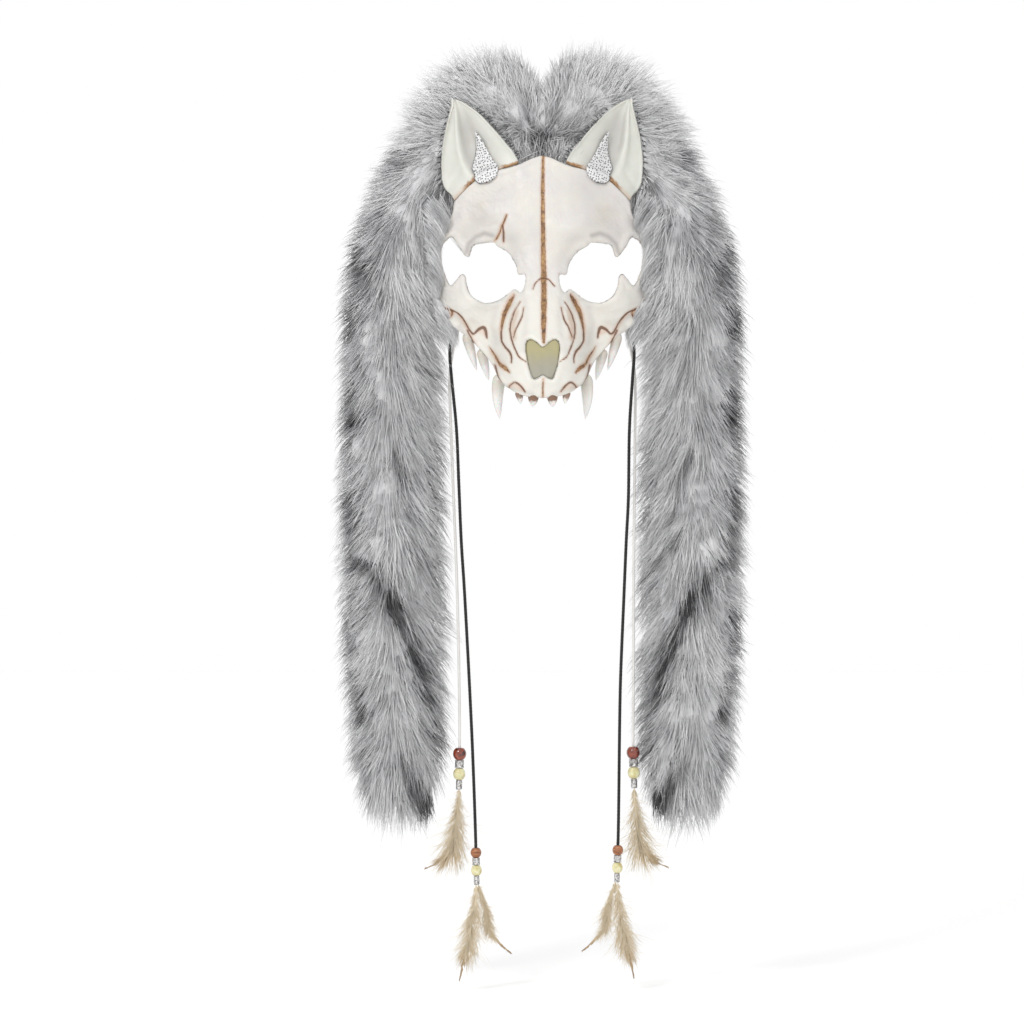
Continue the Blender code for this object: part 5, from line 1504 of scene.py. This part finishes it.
def furHairs(side, kind):
    # hairs start inside the fall's section and leave it along the fall, leaning outwards; over the arch
    # they stand away from the ears, and at the end of the fall they close to a point; none that would
    # pass in front of the mask is kept
    f, k = fur, hairKinds[kind]
    count, seed = k["count"], k["seed"] + side
    dice = np.random.default_rng(seed)
    along = np.sort(dice.uniform(0.004, 0.965, count))
    turn = dice.uniform(0, 2 * np.pi, count)
    front = dice.uniform(size=count) < f["frontShare"]
    turn = np.where(front, np.pi / 2 + dice.normal(0, 0.75, count), turn)
    share = f["rootShare"] * dice.uniform(0.82, 1.12, count)
    root = fallSurface(along, turn, share)
    out, wide, thick = fallFrame(along)[1:]
    step = 0.004    # along the fall, to find the way that it runs
    ahead = unit(fallFrame(np.minimum(along + step, 1))[0] - fallFrame(np.maximum(along - step, 0))[0])
    aside, forward = np.cos(turn)[:, None], np.sin(turn)[:, None]
    radial = unit(out * (aside / wide[:, None]) + frontWay * (forward / thick[:, None]))
    arch = 1 - smoothStep(*f["archEnd"], along)[:, None]
    close = smoothStep(*f["close"], along)[:, None]
    inner, outer, behind = np.clip(-aside, 0, 1), np.clip(aside, 0, 1), np.clip(-forward, 0, 1)
    flow = ahead * (1 - 0.62 * arch) + out * (0.85 * arch) * (1 - inner)
    lean = k["lift"] * (0.38 + 0.62 * np.abs(aside)) * (1 - 0.45 * close) * (1 - 0.35 * inner * arch)
    lean = lean * (1 - 0.85 * behind)
    swirl = np.stack([waves(root, seed + 1, 0.030), 0 * along, waves(root, seed + 2, 0.030)], axis=1) * 0.26
    crossing = smoothStep(0.07, 0.0, along)[:, None] * dice.uniform(-0.9, 0.1, (count, 1)) * (1.0, 0.0, 0.0)
    sides = out * (aside * (1.45 - 0.40 * (aside < 0) - 1.35 * close) * (1 - arch))
    direction = unit(flow + radial * lean + sides + swirl + crossing + dice.normal(0, 0.07, (count, 3)))
    length = dice.uniform(*k["length"], (count, 1)) * (1 + close * (0.15 - 0.50 * np.abs(aside)))
    length = length * (1 - 0.35 * smoothStep(0.06, 0.0, along)[:, None])
    length = length * (1 - 0.30 * outer * (1 - close) * (1 - arch)) * (1 - 0.20 * behind * arch)
    droop = np.array([0.0, 0.0, -1.0]) * (1 - 0.75 * arch)
    bend = (droop * 0.16 - radial * lean * 0.42) + dice.normal(0, 0.05, (count, 3))
    free = np.ones(count, bool)
    for t in (0.0, 0.3, 0.6, 0.85, 1.0):
        free &= ~inFront(root + length * (direction * t + bend * t**2))
    root, direction, bend, length = root[free], direction[free], bend[free], length[free]
    return hairs(side, kind, dice, root, direction, bend, length[:, 0], root + direction * length * 0.55)


def frontHairs(side, kind):
    # hairs that run inwards and down in front of the rim, and behind the cheek, and end along faceEdge
    k, dice = hairKinds[kind], np.random.default_rng(hairKinds[kind]["seed"] + side)
    count, steps = k["count"], 200
    end = smoothPath([(x, 0, z) for x, z in faceEdge], steps)[dice.integers(0, steps, count)]
    aside = dice.uniform(0, 1, count) ** 1.7 * 0.0095 - 0.0012
    end = end + np.stack([aside, 0 * aside, dice.normal(0, 0.0015, count)], axis=1)
    low = smoothStep(-0.026, -0.036, end[:, 2])
    face = skullDepth(np.minimum(end[:, 0], 0.084), end[:, 2])
    end[:, 1] = -face - dice.uniform(0.001, 0.004, count) + 0.009 * low
    direction = low[:, None] * (0.10, 0, 0) + (-0.66, 0.14, -0.74)
    direction = unit(direction + dice.normal(0, 0.11, (count, 3)) * (1, 0.4, 1))
    bend = (0.10, 0.04, -0.12) + dice.normal(0, 0.03, (count, 3))
    length = dice.uniform(*k["length"], count)
    root = end - (direction + bend) * length[:, None]
    return hairs(side, kind, dice, root, direction, bend, length, end)


def crownHairs(side, kind):
    # hairs behind the crown that fill the corner between it, the ear and the arch
    k, dice = hairKinds[kind], np.random.default_rng(hairKinds[kind]["seed"] + side)
    count = k["count"]
    box = ((-0.002, 0.040), (-0.012, 0.004), (0.074, 0.098))    # across, back and up
    root = np.stack([dice.uniform(*span, count) for span in box], axis=1)
    root[:, 2] -= 0.25 * np.abs(root[:, 0])
    direction = root[:, :1] * (14, 0, 0) + (-0.1, -0.10, 0.9)
    direction = unit(direction + dice.normal(0, 0.28, (count, 3)))
    length = dice.uniform(*k["length"], count)
    bend = dice.normal(0, 0.12, (count, 3))
    places = root + direction * length[:, None] * 0.5
    return hairs(side, kind, dice, root, direction, bend, length, places, 0.08)


def underfur(side):
    # the fall's backing: the oval section at a little more than the roots' share, ruffled by noise
    b = backing
    rows, columns = b["rows"], b["columns"]
    turns = 2 * np.pi * np.arange(columns) / columns
    grid = np.meshgrid(np.linspace(0, b["end"], rows), turns, indexing="ij")
    along, turn = grid[0].ravel(), grid[1].ravel()
    points = fallSurface(along, turn, np.full(rows * columns, fur["rootShare"] * b["share"]))
    middle = fallFrame(along)[0]
    ruffle = 1 + 0.05 * waves(points, 51, 0.012) + 0.04 * waves(points, 52, 0.030)
    points = middle + (points - middle) * ruffle[:, None]
    points[:, 0] = np.maximum(points[:, 0], -b["crossing"])
    ends = fallFrame(np.array([0.0, b["tip"]]))[0] - np.array([[b["crossing"], 0, 0], [0, 0, 0]])
    points = np.concatenate([points, ends]) * (side, 1, 1)
    return outward(points, gridFaces(rows, columns, closeColumns=True), endFans(rows, columns))


def furFinish(name, bright):
    # the tone read through greys, with streaks; roots are darker than tips
    made = Finish(name, Roughness=0.62, Sheen_Weight=0.15, Specular_IOR_Level=0.25)
    greys = (0.44, 0.44, 0.45), (0.685, 0.685, 0.695), (0.86, 0.86, 0.86)
    middle, pale, palest = (bright * np.array(grey) for grey in greys)
    tone, reach = made.attribute("tone"), made.attribute("reach")
    streak = made.noise(900.0, 2.0)
    value = tone + (streak - 0.5) * 0.12 - (1 - reach).between(0.35, 1.0) * 0.09 + reach * 0.04
    made.paint("Base Color", made.ramp(
        value, (0.02, (0.030, 0.030, 0.032)), (0.26, (0.16, 0.16, 0.165)), (0.48, middle), (0.74, pale),
        (0.98, palest),
    ))
    made.bump(streak, 0.0003, 0.3)
    return made.material


hairPaint, backingPaint = furFinish("grey fur", 1.0), furFinish("underfur", 0.93)
for side, word in ((-1, "left"), (1, "right")):
    shape = underfur(side)
    # the backing is darker towards the back, as painted shade of the hairs over it
    behind = smoothStep(0.012, 0.036, shape[0][:, 1])
    ruffle = 0.05 * waves(shape[0], 61, 0.003)
    tones = {"tone": furTone(shape[0]) - 0.05 - 0.16 * behind + ruffle, "reach": np.full(len(shape[0]), 0.45)}
    addPiece(f"{word}_underfur", shape, backingPaint, tones, f"{word}_fur_fall")
    for kind, grow in zip(hairKinds, (furHairs, furHairs, frontHairs, crownHairs)):
        shape, tones = grow(side, kind)
        addPiece(f"{word}_{kind}_hair", shape, hairPaint, tones, smooth=False)


print("floor and light")
studio = {
    "floorHeight": -0.575, "floorHalf": 6.0, "floorColour": (0.99, 0.99, 0.99), "sky": 1.0,
    "lamps": {      # place, aim, width and power
        "key": ((-1.2, -2.2, 1.6), (0, 0, -0.1), 0.7, 24),
        "fill": ((1.6, -2.4, 0.6), (0, 0, -0.2), 1.4, 2),
    },
}


def makeStage():
    # a wide flat floor: beyond its edge the white sky is the background on every side
    across = np.array([-1.0, 1.0]) * studio["floorHalf"]
    y, x = np.meshgrid(across, across, indexing="ij")
    points = np.stack([x, y, 0 * x + studio["floorHeight"]], axis=-1).reshape(-1, 3)
    mesh = makeMesh("floor", points, gridFaces(2, 2))
    made = Finish("floor paint", Roughness=0.9)
    made.paint("Base Color", made.mix(made.noise(3.0), studio["floorColour"], (1.0, 1.0, 1.0)))
    mesh.materials.append(made.material)
    mesh.shade_smooth()
    floor = bpy.data.objects.new("floor", mesh)
    bpy.context.scene.collection.objects.link(floor)


def addLamp(name, place, aim, size, power):
    # a round lamp turned to its aim
    lamp = bpy.data.lights.new(name, "AREA")
    lamp.shape, lamp.size, lamp.energy = "DISK", size, power
    thing = bpy.data.objects.new(name, lamp)
    thing.location = place
    direction = np.array(aim, float) - np.array(place, float)
    yaw = math.atan2(direction[0], -direction[1])
    pitch = math.atan2(math.hypot(direction[0], direction[1]), -direction[2])
    thing.rotation_euler = (pitch, 0, yaw + math.pi)
    bpy.context.scene.collection.objects.link(thing)


makeStage()
world = bpy.data.worlds.new("studio")
world.use_nodes = True
background = world.node_tree.nodes["Background"].inputs
background["Color"].default_value = (1, 1, 1, 1)
background["Strength"].default_value = studio["sky"]
bpy.context.scene.world = world
bpy.context.scene.view_settings.view_transform = "Standard"
for name, lamp in studio["lamps"].items():
    addLamp(name, *lamp)
